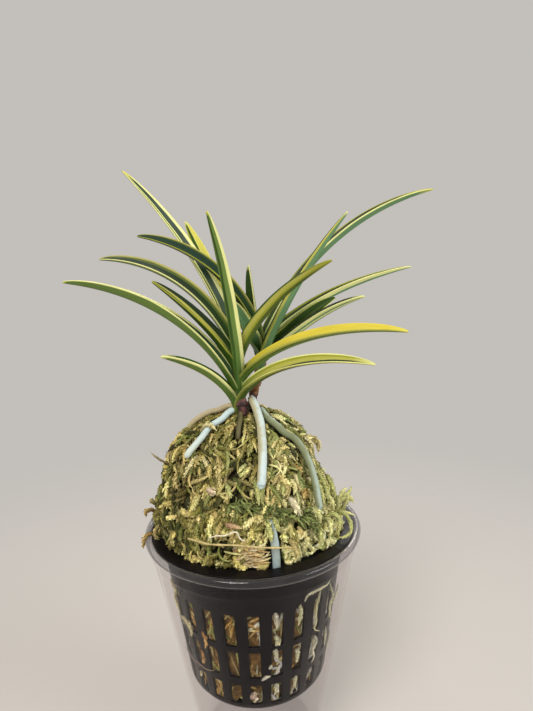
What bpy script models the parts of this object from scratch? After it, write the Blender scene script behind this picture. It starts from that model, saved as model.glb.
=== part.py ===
"""A variegated wind orchid on a mound of moss, in a net pot that hangs inside a clear cup.

The origin is on the surface under the middle of the cup. +Z is up, and the plant is seen from
-Y, with +X to the right. Lengths are in metres, written as millimetres times MM.
"""

import math
from dataclasses import dataclass

import bmesh
import bpy
from mathutils import Matrix, Vector

MM = 0.001
SEAT_GAP = 0.3 * MM

# The clear cup
CUP_HEIGHT = 102.4 * MM
CUP_RIM_RADIUS = 46.0 * MM
CUP_RIM_INNER_RADIUS = 43.6 * MM
CUP_RIM_DEPTH = 3.4 * MM
CUP_WALL_TOP_RADIUS = 44.3 * MM
CUP_BASE_RADIUS = 25.5 * MM
CUP_WALL = 1.0 * MM
CUP_FLOOR = 1.2 * MM
CUP_STEP_HEIGHT = 100.8 * MM
CUP_STEP_RADIUS = 42.2 * MM
CUP_SEGMENTS = 56

# The net pot, which hangs from the step inside the cup's rim
FLANGE_RADIUS = CUP_RIM_INNER_RADIUS - SEAT_GAP
FLANGE_THICKNESS = 1.2 * MM
FLANGE_BOTTOM = CUP_STEP_HEIGHT + SEAT_GAP
FLANGE_TOP = FLANGE_BOTTOM + FLANGE_THICKNESS
NET_TOP_RADIUS = 38.9 * MM
NET_TAPER = 0.145
NET_WALL = 1.2 * MM
NET_FLOOR = 36.0 * MM
NET_CORNER = 3.0 * MM
NET_SEGMENTS = 48
SLOT_COLUMNS = 24
SLOT_WIDTH = 4.4 * MM
SLOT_ROWS = ((67.6 * MM, 82.2 * MM), (52.6 * MM, 65.0 * MM), (39.7 * MM, 49.0 * MM))
FLOOR_SLOTS = 8
FLOOR_SLOT_SIZE = (12.0 * MM, 3.0 * MM)
FLOOR_SLOT_RADIUS = 16.0 * MM
CUTTER_DEPTH = 8.0 * MM

# The moss: a packed core in the net pot and a dome above it
DOME_BOTTOM = FLANGE_TOP + SEAT_GAP
DOME_TOP = 151.0 * MM
DOME_RADIUS = 40.2 * MM
DOME_LEAN_BACK = 1.9 * MM
DOME_WIDER = 1.6 * MM
DOME_FULLNESS = 2.3
DOME_HEM = 0.6 * MM
CROWN_RADIUS = 1.5 * MM
MOSS_FLOOR = NET_FLOOR + NET_WALL + SEAT_GAP
MOSS_SEGMENTS = 84
DOME_RINGS = 18
RIDGES = 15
RIDGE_HEIGHT = 0.7 * MM
RIDGE_FADE = 20 * MM

# The leaves
LAW_STEPS = 200
TIP_POWER = 6
TIP_END = 0.988
LEAF_FLANK = 3.4 * MM
FOLD_AT_BASE = 52.0
FOLD_AT_TIP = 34.0
KEEL_THICKNESS = 1.5 * MM
FLANK_THICKNESS = 1.0 * MM
MARGIN_THICKNESS = 0.6 * MM
THIN_AT_TIP = 0.6
BLADE_RINGS = 14


@dataclass
class Leaf:
    """One leaf as a curve from the stem to the tip. Lengths are in millimetres, angles in degrees.

    The heading is measured from +X towards +Y, and changes by turn from base to tip. The rise is
    the slope above level. A bend under 1 bends the leaf near its base, over 1 near its tip.
    """

    name: str
    base: tuple
    heading: float
    turn: float
    length: float
    rise: float
    tip_rise: float
    bend: float
    sheath: float


FRONT_LEAVES = (
    Leaf("front_leaf_01", (-5.0, -5.0, 153.5), 204, -6, 40, 88, 16, 0.50, 8),
    Leaf("front_leaf_02", (-4.0, -5.5, 154.5), -24, 14, 63, 95, -11, 0.40, 10),
    Leaf("front_leaf_03", (-4.0, -5.0, 159.0), 186, -4, 86, 70, 6, 0.90, 10),
    Leaf("front_leaf_04", (-4.0, -5.0, 162.0), -16, 6, 75, 78, -7, 0.45, 10),
    Leaf("front_leaf_05", (-4.0, -10.2, 161.5), 226, 6, 70, 88, 71, 1.10, 11),
    Leaf("front_leaf_06", (-4.0, -4.0, 166.5), 196, 0, 52, 88, 39, 0.35, 11),
    Leaf("front_leaf_07", (-3.0, -2.0, 168.5), -24, 6, 62, 99, 21, 0.55, 12),
    Leaf("front_leaf_08", (-4.0, -1.5, 173.5), 172, 2, 75, 72, 1, 1.05, 10),
    Leaf("front_leaf_09", (-4.0, 4.0, 168.5), 152, 2, 105, 99, 43, 0.35, 16),
    Leaf("front_leaf_10", (-3.5, 9.5, 168.0), 134, 2, 74, 90, 53, 0.35, 15),
)
REAR_LEAVES = (
    Leaf("rear_leaf_01", (6.0, 3.0, 167.5), 2, 2, 75, 87, 51, 0.35, 10),
    Leaf("rear_leaf_02", (6.0, 16.6, 170.5), 50, 0, 42, 101, 97, 1.85, 10),
    Leaf("rear_leaf_03", (4.0, 4.5, 174.5), 184, 0, 26, 68, 61, 0.85, 6),
    Leaf("rear_leaf_04", (8.0, 7.2, 172.5), -12, 0, 49, 40, 16, 1.90, 7),
    Leaf("rear_leaf_05", (8.0, 10.9, 173.0), 4, 0, 39, 41, 30, 3.00, 8),
    Leaf("rear_leaf_06", (5.0, 7.6, 178.0), 186, 0, 71, 77, 10, 1.05, 7),
    Leaf("rear_leaf_07", (7.0, 13.0, 177.5), 8, 0, 105, 67, 12, 1.05, 7),
    Leaf("rear_leaf_08", (8.5, 12.5, 177.5), 20, 0, 82, 62, 10, 0.35, 7),
)

# Stem axes from the foot in the moss to the last leaf base: x, y, z and radius in millimetres
FRONT_STEM = ((-2.0, -5.0, 144.0, 1.8), (-2.3, -5.0, 151.0, 2.4), (-3.0, -5.0, 156.0, 2.7),
              (-3.8, -4.8, 161.0, 2.6), (-4.1, -4.2, 166.0, 2.3), (-4.0, -3.0, 171.0, 1.9),
              (-3.6, -2.0, 175.0, 1.3))
REAR_STEM = ((1.2, 7.0, 144.0, 1.8), (1.8, 7.0, 152.0, 2.3), (3.2, 7.0, 158.0, 2.4),
             (4.8, 7.0, 164.0, 2.4), (5.8, 7.5, 169.0, 2.4), (6.2, 8.2, 174.0, 2.1),
             (6.2, 8.8, 178.0, 1.4))
STEM_SIDES = 12
STEM_SWELL = 1.08
STEM_WAIST = 0.94
SHEATH_RINGS = 3
SHEATH_ROOT_DROP = 4.0 * MM
SHEATH_ROOT_RADIUS = 1.3 * MM
SHEATH_FOOT_SCALE = 0.62
SHEATH_FILL = 0.7

# Root routes over the moss: radius, then x, y, z in millimetres
ROOTS = {
    "root_01": (1.4, ((-6.0, -7.0, 153.9), (-7.8, -8.2, 153.4), (-11.1, -10.4, 150.9),
                      (-15.1, -12.6, 148.9), (-17.9, -17.0, 146.2), (-20.6, -19.2, 143.6),
                      (-23.4, -21.0, 140.4), (-24.6, -21.6, 136.4))),
    "root_02": (1.8, ((0.9, -3.4, 158.0), (2.4, -5.5, 156.0), (3.7, -9.0, 153.2),
                      (4.7, -13.4, 150.4), (5.2, -18.6, 147.2), (5.5, -24.8, 142.0),
                      (5.2, -29.4, 136.6), (4.6, -32.6, 131.2), (4.3, -33.0, 126.0))),
    "root_03": (1.6, ((5.2, 1.6, 151.6), (6.0, -3.4, 151.4), (8.0, -8.4, 150.2),
                      (11.4, -11.2, 148.2), (14.6, -12.8, 145.4), (18.6, -12.2, 142.8),
                      (21.3, -13.4, 139.6), (23.4, -15.8, 135.9), (25.0, -18.2, 132.2),
                      (26.0, -21.0, 128.2), (26.6, -24.2, 122.6), (26.2, -26.6, 117.4),
                      (25.0, -27.2, 113.0))),
    "root_04": (1.2, ((-6.0, -2.6, 154.3), (-8.6, -1.9, 154.4), (-12.9, -0.2, 152.3),
                      (-16.3, 0.8, 151.3), (-20.7, 1.0, 149.2), (-24.4, 0.4, 146.4),
                      (-27.0, 0.0, 142.4))),
    "root_05": (1.55, ((7.2, -31.4, 119.0), (8.0, -33.8, 115.6), (8.8, -34.7, 111.2),
                       (9.2, -34.8, 106.6), (9.4, -34.2, 101.0), (9.3, -33.0, 94.0))),
    "root_stub": (1.0, ((-3.2, -8.4, 153.0), (-3.2, -11.2, 151.4), (-3.5, -14.6, 149.9),
                        (-3.9, -17.4, 147.6), (-4.1, -18.6, 144.8))),
}
ROOT_SIDES = 8
ROOT_RINGS = 11
ROOT_TIP = 0.55

COLOURS = {
    "clear_cup": ((0.62, 0.60, 0.62, 1.0), 0.12),
    "net_pot": ((0.018, 0.015, 0.018, 1.0), 0.25),
    "moss": ((0.30, 0.27, 0.10, 1.0), 0.95),
    "stem": ((0.10, 0.05, 0.04, 1.0), 0.6),
    "leaf": ((0.13, 0.22, 0.05, 1.0), 0.4),
    "root": ((0.62, 0.68, 0.62, 1.0), 0.6),
}


def clear_scene():
    for obj in list(bpy.data.objects):
        bpy.data.objects.remove(obj, do_unlink=True)


def paint(obj, kind):
    """Give an object a Principled material of its own."""
    colour, roughness = COLOURS[kind]
    material = bpy.data.materials.new(obj.name)
    material.use_nodes = True
    shader = material.node_tree.nodes["Principled BSDF"]
    shader.inputs["Base Color"].default_value = colour
    shader.inputs["Roughness"].default_value = roughness
    shader.inputs["Metallic"].default_value = 0.0
    obj.data.materials.clear()
    obj.data.materials.append(material)
    obj.data.shade_smooth()
    obj.data.set_sharp_from_angle(angle=math.radians(40))


def new_object(name, bm):
    """Close a bmesh into a named object with its faces pointing out."""
    bmesh.ops.recalc_face_normals(bm, faces=bm.faces)
    mesh = bpy.data.meshes.new(name)
    bm.to_mesh(mesh)
    bm.free()
    obj = bpy.data.objects.new(name, mesh)
    bpy.context.scene.collection.objects.link(obj)
    return obj


def loft(name, rings):
    """Skin rings of equally many points, and close both ends."""
    bm = bmesh.new()
    loops = [[bm.verts.new(point) for point in ring] for ring in rings]
    count = len(loops[0])
    for lower, upper in zip(loops, loops[1:]):
        for i in range(count):
            j = (i + 1) % count
            bm.faces.new((lower[i], lower[j], upper[j], upper[i]))
    bm.faces.new(reversed(loops[0]))
    bm.faces.new(loops[-1])
    return new_object(name, bm)


def turned(name, profile, segments):
    """Spin a closed profile of (radius, height) points round the Z axis."""
    bm = bmesh.new()
    verts = [bm.verts.new((radius, 0.0, height)) for radius, height in profile]
    edges = [bm.edges.new((verts[i - 1], verts[i])) for i in range(len(verts))]
    bmesh.ops.spin(bm, geom=verts + edges, cent=(0, 0, 0), axis=(0, 0, 1),
                   angle=math.tau, steps=segments, use_merge=True)
    bmesh.ops.remove_doubles(bm, verts=bm.verts, dist=0.01 * MM)
    bmesh.ops.dissolve_degenerate(bm, edges=bm.edges, dist=0.01 * MM)
    return new_object(name, bm)


def combine(obj, operands, operation, solver):
    """Join or cut an object with several others in one Boolean, and remove those others."""
    tools = bpy.data.collections.new(obj.name + " tools")
    bpy.context.scene.collection.children.link(tools)
    for operand in operands:
        bpy.context.scene.collection.objects.unlink(operand)
        tools.objects.link(operand)
        operand.hide_render = True
        operand.display_type = "WIRE"
    boolean = obj.modifiers.new("Boolean", "BOOLEAN")
    boolean.operation = operation
    boolean.solver = solver
    boolean.operand_type = "COLLECTION"
    boolean.collection = tools
    depsgraph = bpy.context.evaluated_depsgraph_get()
    result = bpy.data.meshes.new_from_object(obj.evaluated_get(depsgraph))
    obj.modifiers.clear()
    obj.data = result
    for operand in list(tools.objects):
        bpy.data.objects.remove(operand, do_unlink=True)
    bpy.data.collections.remove(tools)


def keep_main_shell(obj):
    """Keep the largest shell of a mesh: loose scraps go, and sealed hollows are filled."""
    bm = bmesh.new()
    bm.from_mesh(obj.data)
    left = set(bm.verts)
    shells = []
    while left:
        shell = {left.pop()}
        edge = list(shell)
        while edge:
            near = {e.other_vert(v) for v in edge for e in v.link_edges} - shell
            shell |= near
            edge = list(near)
        left -= shell
        shells.append(shell)
    shells.sort(key=len)
    for shell in shells[:-1]:
        bmesh.ops.delete(bm, geom=list(shell), context="VERTS")
    bm.to_mesh(obj.data)
    bm.free()


def box(name, size, place, turn):
    """A box of the given size whose middle is at place, turned about Z."""
    bm = bmesh.new()
    bmesh.ops.create_cube(bm, size=1.0)
    obj = new_object(name, bm)
    obj.data.transform(Matrix.Diagonal((*size, 1.0)))
    obj.data.transform(Matrix.Rotation(turn, 4, "Z") @ Matrix.Translation(place))
    return obj


def clear_cup():
    rim_under = CUP_HEIGHT - CUP_RIM_DEPTH
    taper = (CUP_WALL_TOP_RADIUS - CUP_BASE_RADIUS) / rim_under
    shoulder_height = 0.9 * rim_under
    shoulder_radius = CUP_BASE_RADIUS + taper * shoulder_height - CUP_WALL
    edge = 1.0 * MM
    profile = [
        (0.0, 0.0),
        (CUP_BASE_RADIUS - 2 * edge, 0.0),
        (CUP_BASE_RADIUS - 0.5 * edge, 0.4 * edge),
        (CUP_BASE_RADIUS, 1.6 * edge),
        (CUP_WALL_TOP_RADIUS, rim_under),
        (CUP_RIM_RADIUS - 0.6 * edge, rim_under + 0.1 * edge),
        (CUP_RIM_RADIUS, rim_under + 0.9 * edge),
        (CUP_RIM_RADIUS, CUP_HEIGHT - edge),
        (CUP_RIM_RADIUS - 0.7 * edge, CUP_HEIGHT - 0.1 * edge),
        (CUP_RIM_INNER_RADIUS + 0.6 * edge, CUP_HEIGHT),
        (CUP_RIM_INNER_RADIUS, CUP_HEIGHT - 0.5 * edge),
        (CUP_RIM_INNER_RADIUS, CUP_STEP_HEIGHT),
        (CUP_STEP_RADIUS, CUP_STEP_HEIGHT),
        (shoulder_radius, shoulder_height),
        (CUP_BASE_RADIUS - CUP_WALL + taper * 3 * edge, CUP_FLOOR + 1.5 * edge),
        (CUP_BASE_RADIUS - CUP_WALL - 1.5 * edge, CUP_FLOOR),
        (0.0, CUP_FLOOR),
    ]
    return turned("clear_cup", profile, CUP_SEGMENTS)


def net_radius(height):
    """Outer radius of the net pot's wall."""
    return NET_TOP_RADIUS - NET_TAPER * (100 * MM - height)


def net_body():
    corner = net_radius(NET_FLOOR)
    inner_corner = net_radius(NET_FLOOR + NET_WALL) - NET_WALL
    profile = [
        (0.0, NET_FLOOR),
        (corner - NET_CORNER, NET_FLOOR),
        (corner - 0.3 * NET_CORNER, NET_FLOOR + 0.25 * NET_CORNER),
        (net_radius(NET_FLOOR + NET_CORNER), NET_FLOOR + NET_CORNER),
        (net_radius(FLANGE_BOTTOM), FLANGE_BOTTOM),
        (FLANGE_RADIUS, FLANGE_BOTTOM),
        (FLANGE_RADIUS, FLANGE_TOP),
        (net_radius(FLANGE_TOP) - NET_WALL, FLANGE_TOP),
        (net_radius(NET_FLOOR + NET_CORNER) - NET_WALL, NET_FLOOR + NET_CORNER),
        (inner_corner - 0.7 * NET_CORNER, NET_FLOOR + NET_WALL),
        (0.0, NET_FLOOR + NET_WALL),
    ]
    return turned("net_pot", profile, NET_SEGMENTS)


def slot_cutters():
    """One box for each slot in the wall and for each drain slot in the floor."""
    cutters = []
    for column in range(SLOT_COLUMNS):
        turn = math.tau * column / SLOT_COLUMNS - math.pi / 2
        for low, high in SLOT_ROWS:
            middle = (low + high) / 2
            place = (net_radius(middle), 0.0, middle)
            cutters.append(box("slot", (CUTTER_DEPTH, SLOT_WIDTH, high - low), place, turn))
    length, width = FLOOR_SLOT_SIZE
    for i in range(FLOOR_SLOTS):
        turn = math.tau * (i + 0.5) / FLOOR_SLOTS
        place = (FLOOR_SLOT_RADIUS, 0.0, NET_FLOOR)
        cutters.append(box("drain", (length, width, CUTTER_DEPTH), place, turn))
    return cutters


def net_pot():
    body = net_body()
    combine(body, slot_cutters(), "DIFFERENCE", "EXACT")
    return body


def dome_radius(angle, height):
    """Radius of the moss dome at an angle from +X: full on the left, sloping on the right."""
    rim = DOME_RADIUS + DOME_LEAN_BACK * math.sin(angle) + DOME_WIDER * math.cos(2 * angle)
    fullness = DOME_FULLNESS - math.cos(angle)
    part = (height - DOME_BOTTOM) / (DOME_TOP - DOME_BOTTOM)
    return rim * math.sqrt(max(0.0, 1.0 - max(0.0, part) ** fullness))


def ridge(angle, height):
    """Low ridges of draping moss, which wander as they run down."""
    down = height / MM
    wander = 1.6 * math.sin(0.16 * down + 2 * angle) + 0.9 * math.sin(0.37 * down - 5 * angle)
    broken = 0.6 + 0.4 * math.sin(0.45 * down + 3 * angle)
    return RIDGE_HEIGHT * math.sin(RIDGES * angle + wander) * broken


def moss_ring(radius_at, height):
    angles = [math.tau * i / MOSS_SEGMENTS for i in range(MOSS_SEGMENTS)]
    return [Vector((radius_at(a) * math.cos(a), radius_at(a) * math.sin(a), height)) for a in angles]


def moss_core_rings():
    """Rings of the plain core that fills the net pot, from its floor to its flange."""
    rings = []
    corner = NET_CORNER
    inside = NET_WALL + SEAT_GAP
    for height, inset in ((MOSS_FLOOR, corner), (MOSS_FLOOR + corner, 0.2 * MM),
                          (60 * MM, 0.0), (80 * MM, 0.0), (FLANGE_TOP, 0.0)):
        radius = net_radius(height) - inside - inset
        rings.append(moss_ring(lambda a, r=radius: r, height))
    return rings


def moss_dome_rings():
    rings = [moss_ring(lambda a: dome_radius(a, DOME_BOTTOM) - DOME_HEM, DOME_BOTTOM)]
    for i in range(1, DOME_RINGS):
        part = math.sin(math.pi / 2 * i / DOME_RINGS)
        height = DOME_BOTTOM + part * (DOME_TOP - DOME_BOTTOM)
        rings.append(moss_ring(lambda a, h=height: ridged_radius(a, h), height))
    rings.append(moss_ring(lambda a: CROWN_RADIUS, DOME_TOP))
    return rings


def ridged_radius(angle, height):
    """Dome radius with its ridges, which fade towards the crown."""
    radius = dome_radius(angle, height)
    return radius + ridge(angle, height) * min(1.0, radius / RIDGE_FADE)


def moss(cutters):
    body = loft("moss", moss_core_rings() + moss_dome_rings())
    combine(body, cutters, "DIFFERENCE", "MANIFOLD")
    keep_main_shell(body)
    return body


def leaf_direction(leaf, s):
    rise = math.radians(leaf.rise + (leaf.tip_rise - leaf.rise) * s ** leaf.bend)
    heading = math.radians(leaf.heading + leaf.turn * s)
    return Vector((math.cos(rise) * math.cos(heading),
                   math.cos(rise) * math.sin(heading),
                   math.sin(rise)))


def leaf_frame(leaf, s):
    """Place on the leaf's curve at the fraction s, with its side and upper face directions."""
    place = Vector(leaf.base) * MM
    steps = max(1, round(s * LAW_STEPS))
    step = s * leaf.length * MM / steps
    for i in range(steps):
        place += leaf_direction(leaf, s * (i + 0.5) / steps) * step
    heading = math.radians(leaf.heading + leaf.turn * s)
    along = leaf_direction(leaf, s)
    side = Vector((-math.sin(heading), math.cos(heading), 0.0))
    return place, side, along.cross(side)


def folded_section(s, filled):
    """Eight (side, face) points round the folded blade. A filled one has no channel."""
    flank = LEAF_FLANK * math.sqrt(1.0 - s ** TIP_POWER)
    fold = math.radians(FOLD_AT_BASE + (FOLD_AT_TIP - FOLD_AT_BASE) * s)
    out, up = math.cos(fold), math.sin(fold)
    thin = THIN_AT_TIP + (1 - THIN_AT_TIP) * flank / LEAF_FLANK
    keel = KEEL_THICKNESS * thin
    belly = FLANK_THICKNESS * thin
    margin = MARGIN_THICKNESS
    half = [
        (flank * out, flank * up),
        (flank * out + margin * up, flank * up - margin * out),
        (0.5 * flank * out + belly * up, 0.5 * flank * up - belly * out),
    ]
    left = [(-side, face) for side, face in half]
    channel = SHEATH_FILL * flank * up if filled else 0.0
    return left + [(0.0, -keel)] + half[::-1] + [(0.0, channel)]


def placed_ring(leaf, s, section):
    place, side, face = leaf_frame(leaf, s)
    return [place + side * a + face * b for a, b in section]


def blade(leaf):
    """The free blade, from just past its joint on the sheath to its tip."""
    start = (leaf.sheath * MM + SEAT_GAP / 2) / (leaf.length * MM)
    rings = []
    for i in range(BLADE_RINGS + 1):
        s = start + (TIP_END - start) * (1 - (1 - i / BLADE_RINGS) ** 1.3)
        rings.append(placed_ring(leaf, s, folded_section(s, False)))
    return loft(leaf.name, rings)


def axis_at(stem, height):
    """Point of a stem's axis at a height."""
    for low, high in zip(stem, stem[1:]):
        if height <= high[2] * MM:
            part = max(0.0, (height / MM - low[2]) / (high[2] - low[2]))
            return Vector(low[:3]).lerp(Vector(high[:3]), part) * MM
    return Vector(stem[-1][:3]) * MM


def sheath(leaf, stem):
    """The leaf's foot, from inside the stem to the joint where the blade begins."""
    end = (leaf.sheath * MM - SEAT_GAP / 2) / (leaf.length * MM)
    last = folded_section(end, True)
    root = axis_at(stem, leaf.base[2] * MM - SHEATH_ROOT_DROP)
    _, side, face = leaf_frame(leaf, 0.0)
    rings = []
    for part in (0.0, 0.5):
        centre = root.lerp(Vector(leaf.base) * MM, part)
        scale = SHEATH_ROOT_RADIUS * (1 + part)
        rings.append([centre + (side * a + face * b).normalized() * scale for a, b in last])
    for i in range(SHEATH_RINGS + 1):
        part = i / SHEATH_RINGS
        s = end * part
        scale = SHEATH_FOOT_SCALE + (1 - SHEATH_FOOT_SCALE) * part
        rings.append(placed_ring(leaf, s, [(a * scale, b * scale) for a, b in last]))
    return loft("sheath", rings)


def stem_column(name, stem):
    """The stem itself: round, and a little swollen between its old leaf scars."""
    rings = []
    for i, (x, y, z, radius) in enumerate(stem):
        centre = Vector((x, y, z)) * MM
        swell = radius * MM * (STEM_SWELL if i % 2 else STEM_WAIST)
        rings.append([centre + Vector((math.cos(a), math.sin(a), 0.0)) * swell
                      for a in (math.tau * k / STEM_SIDES for k in range(STEM_SIDES))])
    return loft(name, rings)


def stem_with_sheaths(name, stem, leaves):
    body = stem_column(name, stem)
    combine(body, [sheath(leaf, stem) for leaf in leaves], "UNION", "MANIFOLD")
    keep_main_shell(body)
    return body


def smooth_route(points, count):
    """Points spaced along a smooth curve through the route's own points."""
    route = [Vector(p) * MM for p in points]
    route = [2 * route[0] - route[1]] + route + [2 * route[-1] - route[-2]]
    spans = len(route) - 3
    result = []
    for i in range(count + 1):
        t = spans * i / count
        k = min(int(t), spans - 1)
        u = t - k
        a, b, c, d = route[k:k + 4]
        result.append(0.5 * (2 * b + (c - a) * u + (2 * a - 5 * b + 4 * c - d) * u * u
                             + (3 * b - a - 3 * c + d) * u * u * u))
    return result


def tube(name, route, radius, grow=0.0):
    """A round tube along a route, with a tapered far end. It may be grown all over."""
    points = smooth_route(route, ROOT_RINGS)
    if grow:
        points[0] += (points[0] - points[1]).normalized() * grow
        points[-1] += (points[-1] - points[-2]).normalized() * grow
    up = Vector((0.0, 0.0, 1.0))
    rings = []
    for i, point in enumerate(points):
        ahead = points[min(i + 1, len(points) - 1)]
        behind = points[max(i - 1, 0)]
        along = (ahead - behind).normalized()
        across = along.cross(up).normalized()
        over = across.cross(along)
        size = radius * MM * (ROOT_TIP if i == len(points) - 1 else 1.0) + grow
        rings.append([point + (across * math.cos(a) + over * math.sin(a)) * size
                      for a in (math.tau * k / ROOT_SIDES for k in range(ROOT_SIDES))])
    return loft(name, rings)


def stem_hole(stem):
    """A plain round hole in the moss for a stem's foot."""
    foot, collar = stem[0], stem[2]
    low = Vector(foot[:3]) * MM - Vector((0, 0, SEAT_GAP))
    high = Vector(collar[:3]) * MM
    radius = STEM_SWELL * max(point[3] for point in stem[:3]) * MM + SEAT_GAP
    rings = []
    for centre in (low, high):
        rings.append([centre + Vector((math.cos(a), math.sin(a), 0.0)) * radius
                      for a in (math.tau * k / STEM_SIDES for k in range(STEM_SIDES))])
    return loft("stem hole", rings)


def moss_cutters():
    cutters = [stem_hole(FRONT_STEM), stem_hole(REAR_STEM)]
    for name, (radius, route) in ROOTS.items():
        cutters.append(tube(name + " groove", route, radius, SEAT_GAP))
    return cutters


def main():
    clear_scene()
    paint(clear_cup(), "clear_cup")
    paint(net_pot(), "net_pot")
    paint(moss(moss_cutters()), "moss")
    paint(stem_with_sheaths("front_stem", FRONT_STEM, FRONT_LEAVES), "stem")
    paint(stem_with_sheaths("rear_stem", REAR_STEM, REAR_LEAVES), "stem")
    for leaf in FRONT_LEAVES + REAR_LEAVES:
        paint(blade(leaf), "leaf")
    for name, (radius, route) in ROOTS.items():
        paint(tube(name, route, radius), "root")


main()
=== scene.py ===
"""Looks of the potted wind orchid: variegated leaves, silvery roots, draped moss, net pot and clear cup.

Pieces are drawn in mm and the room in metres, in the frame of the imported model: origin under the
middle of the cup, +Z up, the viewer at -Y. The leaf, root and dome laws follow those of the solids.
"""

import math
from collections import namedtuple

import bpy
import numpy as np
from mathutils import Matrix, Vector


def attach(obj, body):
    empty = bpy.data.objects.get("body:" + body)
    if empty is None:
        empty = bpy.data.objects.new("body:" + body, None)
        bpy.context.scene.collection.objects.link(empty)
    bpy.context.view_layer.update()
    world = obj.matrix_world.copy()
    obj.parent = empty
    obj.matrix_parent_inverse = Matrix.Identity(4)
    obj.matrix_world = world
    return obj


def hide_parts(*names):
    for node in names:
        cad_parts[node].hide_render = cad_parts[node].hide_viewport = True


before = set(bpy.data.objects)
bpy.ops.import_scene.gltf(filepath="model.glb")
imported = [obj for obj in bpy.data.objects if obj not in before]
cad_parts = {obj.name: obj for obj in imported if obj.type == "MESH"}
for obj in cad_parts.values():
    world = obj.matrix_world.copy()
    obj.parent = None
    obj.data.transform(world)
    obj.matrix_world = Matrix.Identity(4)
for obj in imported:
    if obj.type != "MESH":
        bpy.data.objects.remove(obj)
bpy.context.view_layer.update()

MM = 0.001
RNG = np.random.default_rng(31)


# Colours, as they show in daylight

def colour(code):
    """Linear colour of a six digit sRGB code."""
    values = [int(code[i:i + 2], 16) / 255 for i in (0, 2, 4)]
    return np.array([v / 12.92 if v <= 0.04045 else ((v + 0.055) / 1.055) ** 2.4 for v in values])


def as_colour(value):
    """A colour, which may be given as its code."""
    return colour(value) if isinstance(value, str) else value


CREAM = colour("E6E698")
LEMON = colour("DCD45C")
GOLD = colour("DCC838")
LIME = colour("9C9E2C")
DEEP = colour("182E0A")
FERN = colour("2E4A12")
TEAL = colour("1F3A26")
SAGE = colour("667F38")
BLUISH = colour("6C9464")
MOSSY = colour("55651F")
BUTTER = colour("B8B552")
STRAW = colour("AEA658")
UMBER = colour("28320E")
PLUM = colour("33191E")
COPPER = colour("8A5634")


# Mesh and material helpers

def placed(name, data):
    """An object made of its data and put into the scene."""
    obj = bpy.data.objects.new(name, data)
    bpy.context.scene.collection.objects.link(obj)
    return obj


def new_piece(name, points, faces, material):
    """A smooth object from points in mm and faces, riding on the one body."""
    mesh = bpy.data.meshes.new(name)
    faces = faces.tolist() if isinstance(faces, np.ndarray) else faces
    mesh.from_pydata((np.asarray(points) * MM).tolist(), [], faces)
    mesh.polygons.foreach_set("use_smooth", np.ones(len(mesh.polygons), bool))
    mesh.validate()
    mesh.materials.append(material)
    obj = placed(name, mesh)
    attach(obj, "root")
    return obj


def unit(vectors):
    """Vectors brought to a length of 1."""
    return vectors / np.maximum(np.linalg.norm(vectors, axis=-1, keepdims=True), 1e-9)


def ring_faces(rows, columns, start=0):
    """Quads between rings of equally many points."""
    faces = []
    for i in range(rows - 1):
        for j in range(columns):
            k = (j + 1) % columns
            a, b = start + i * columns, start + (i + 1) * columns
            faces.append((a + j, a + k, b + k, b + j))
    return faces


def closed_faces(rows, columns):
    """Faces of a solid between its first and its last ring."""
    last = (rows - 1) * columns
    ends = [tuple(range(columns - 1, -1, -1)), tuple(range(last, last + columns))]
    return ring_faces(rows, columns) + ends


def round_angles(count):
    """Angles spread evenly over a full turn."""
    return np.linspace(0, 2 * np.pi, count, endpoint=False)


def polar(angles, radii, heights):
    """Points from angles in radians and radii and heights in mm."""
    return np.stack(np.broadcast_arrays(radii * np.cos(angles), radii * np.sin(angles), heights), -1)


def headings_of(points):
    """Headings of points in degrees."""
    return np.degrees(np.arctan2(points[:, 1], points[:, 0]))


def read_along(points, known, at):
    """Points of a line at other places along it."""
    return np.stack([np.interp(at, known, points[:, axis]) for axis in range(3)], -1)


def hump(values, middle, reach, power=2):
    """1 at the middle, fading out over the reach on both sides."""
    return np.exp(-(np.abs(values - middle) / reach) ** power)


def set_vectors(obj, name, values):
    """A vector attribute on the points, which a material reads by name."""
    attribute = obj.data.attributes.new(name, "FLOAT_VECTOR", "POINT")
    attribute.data.foreach_set("vector", np.asarray(values, np.float32).ravel())


def set_tint(obj, values):
    """A colour attribute on the points."""
    attribute = obj.data.color_attributes.new("tint", "FLOAT_COLOR", "POINT")
    data = np.ones((len(values), 4), np.float32)
    data[:, :3] = np.clip(values, 0.0, 1.0)
    attribute.data.foreach_set("color", data.ravel())


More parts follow.
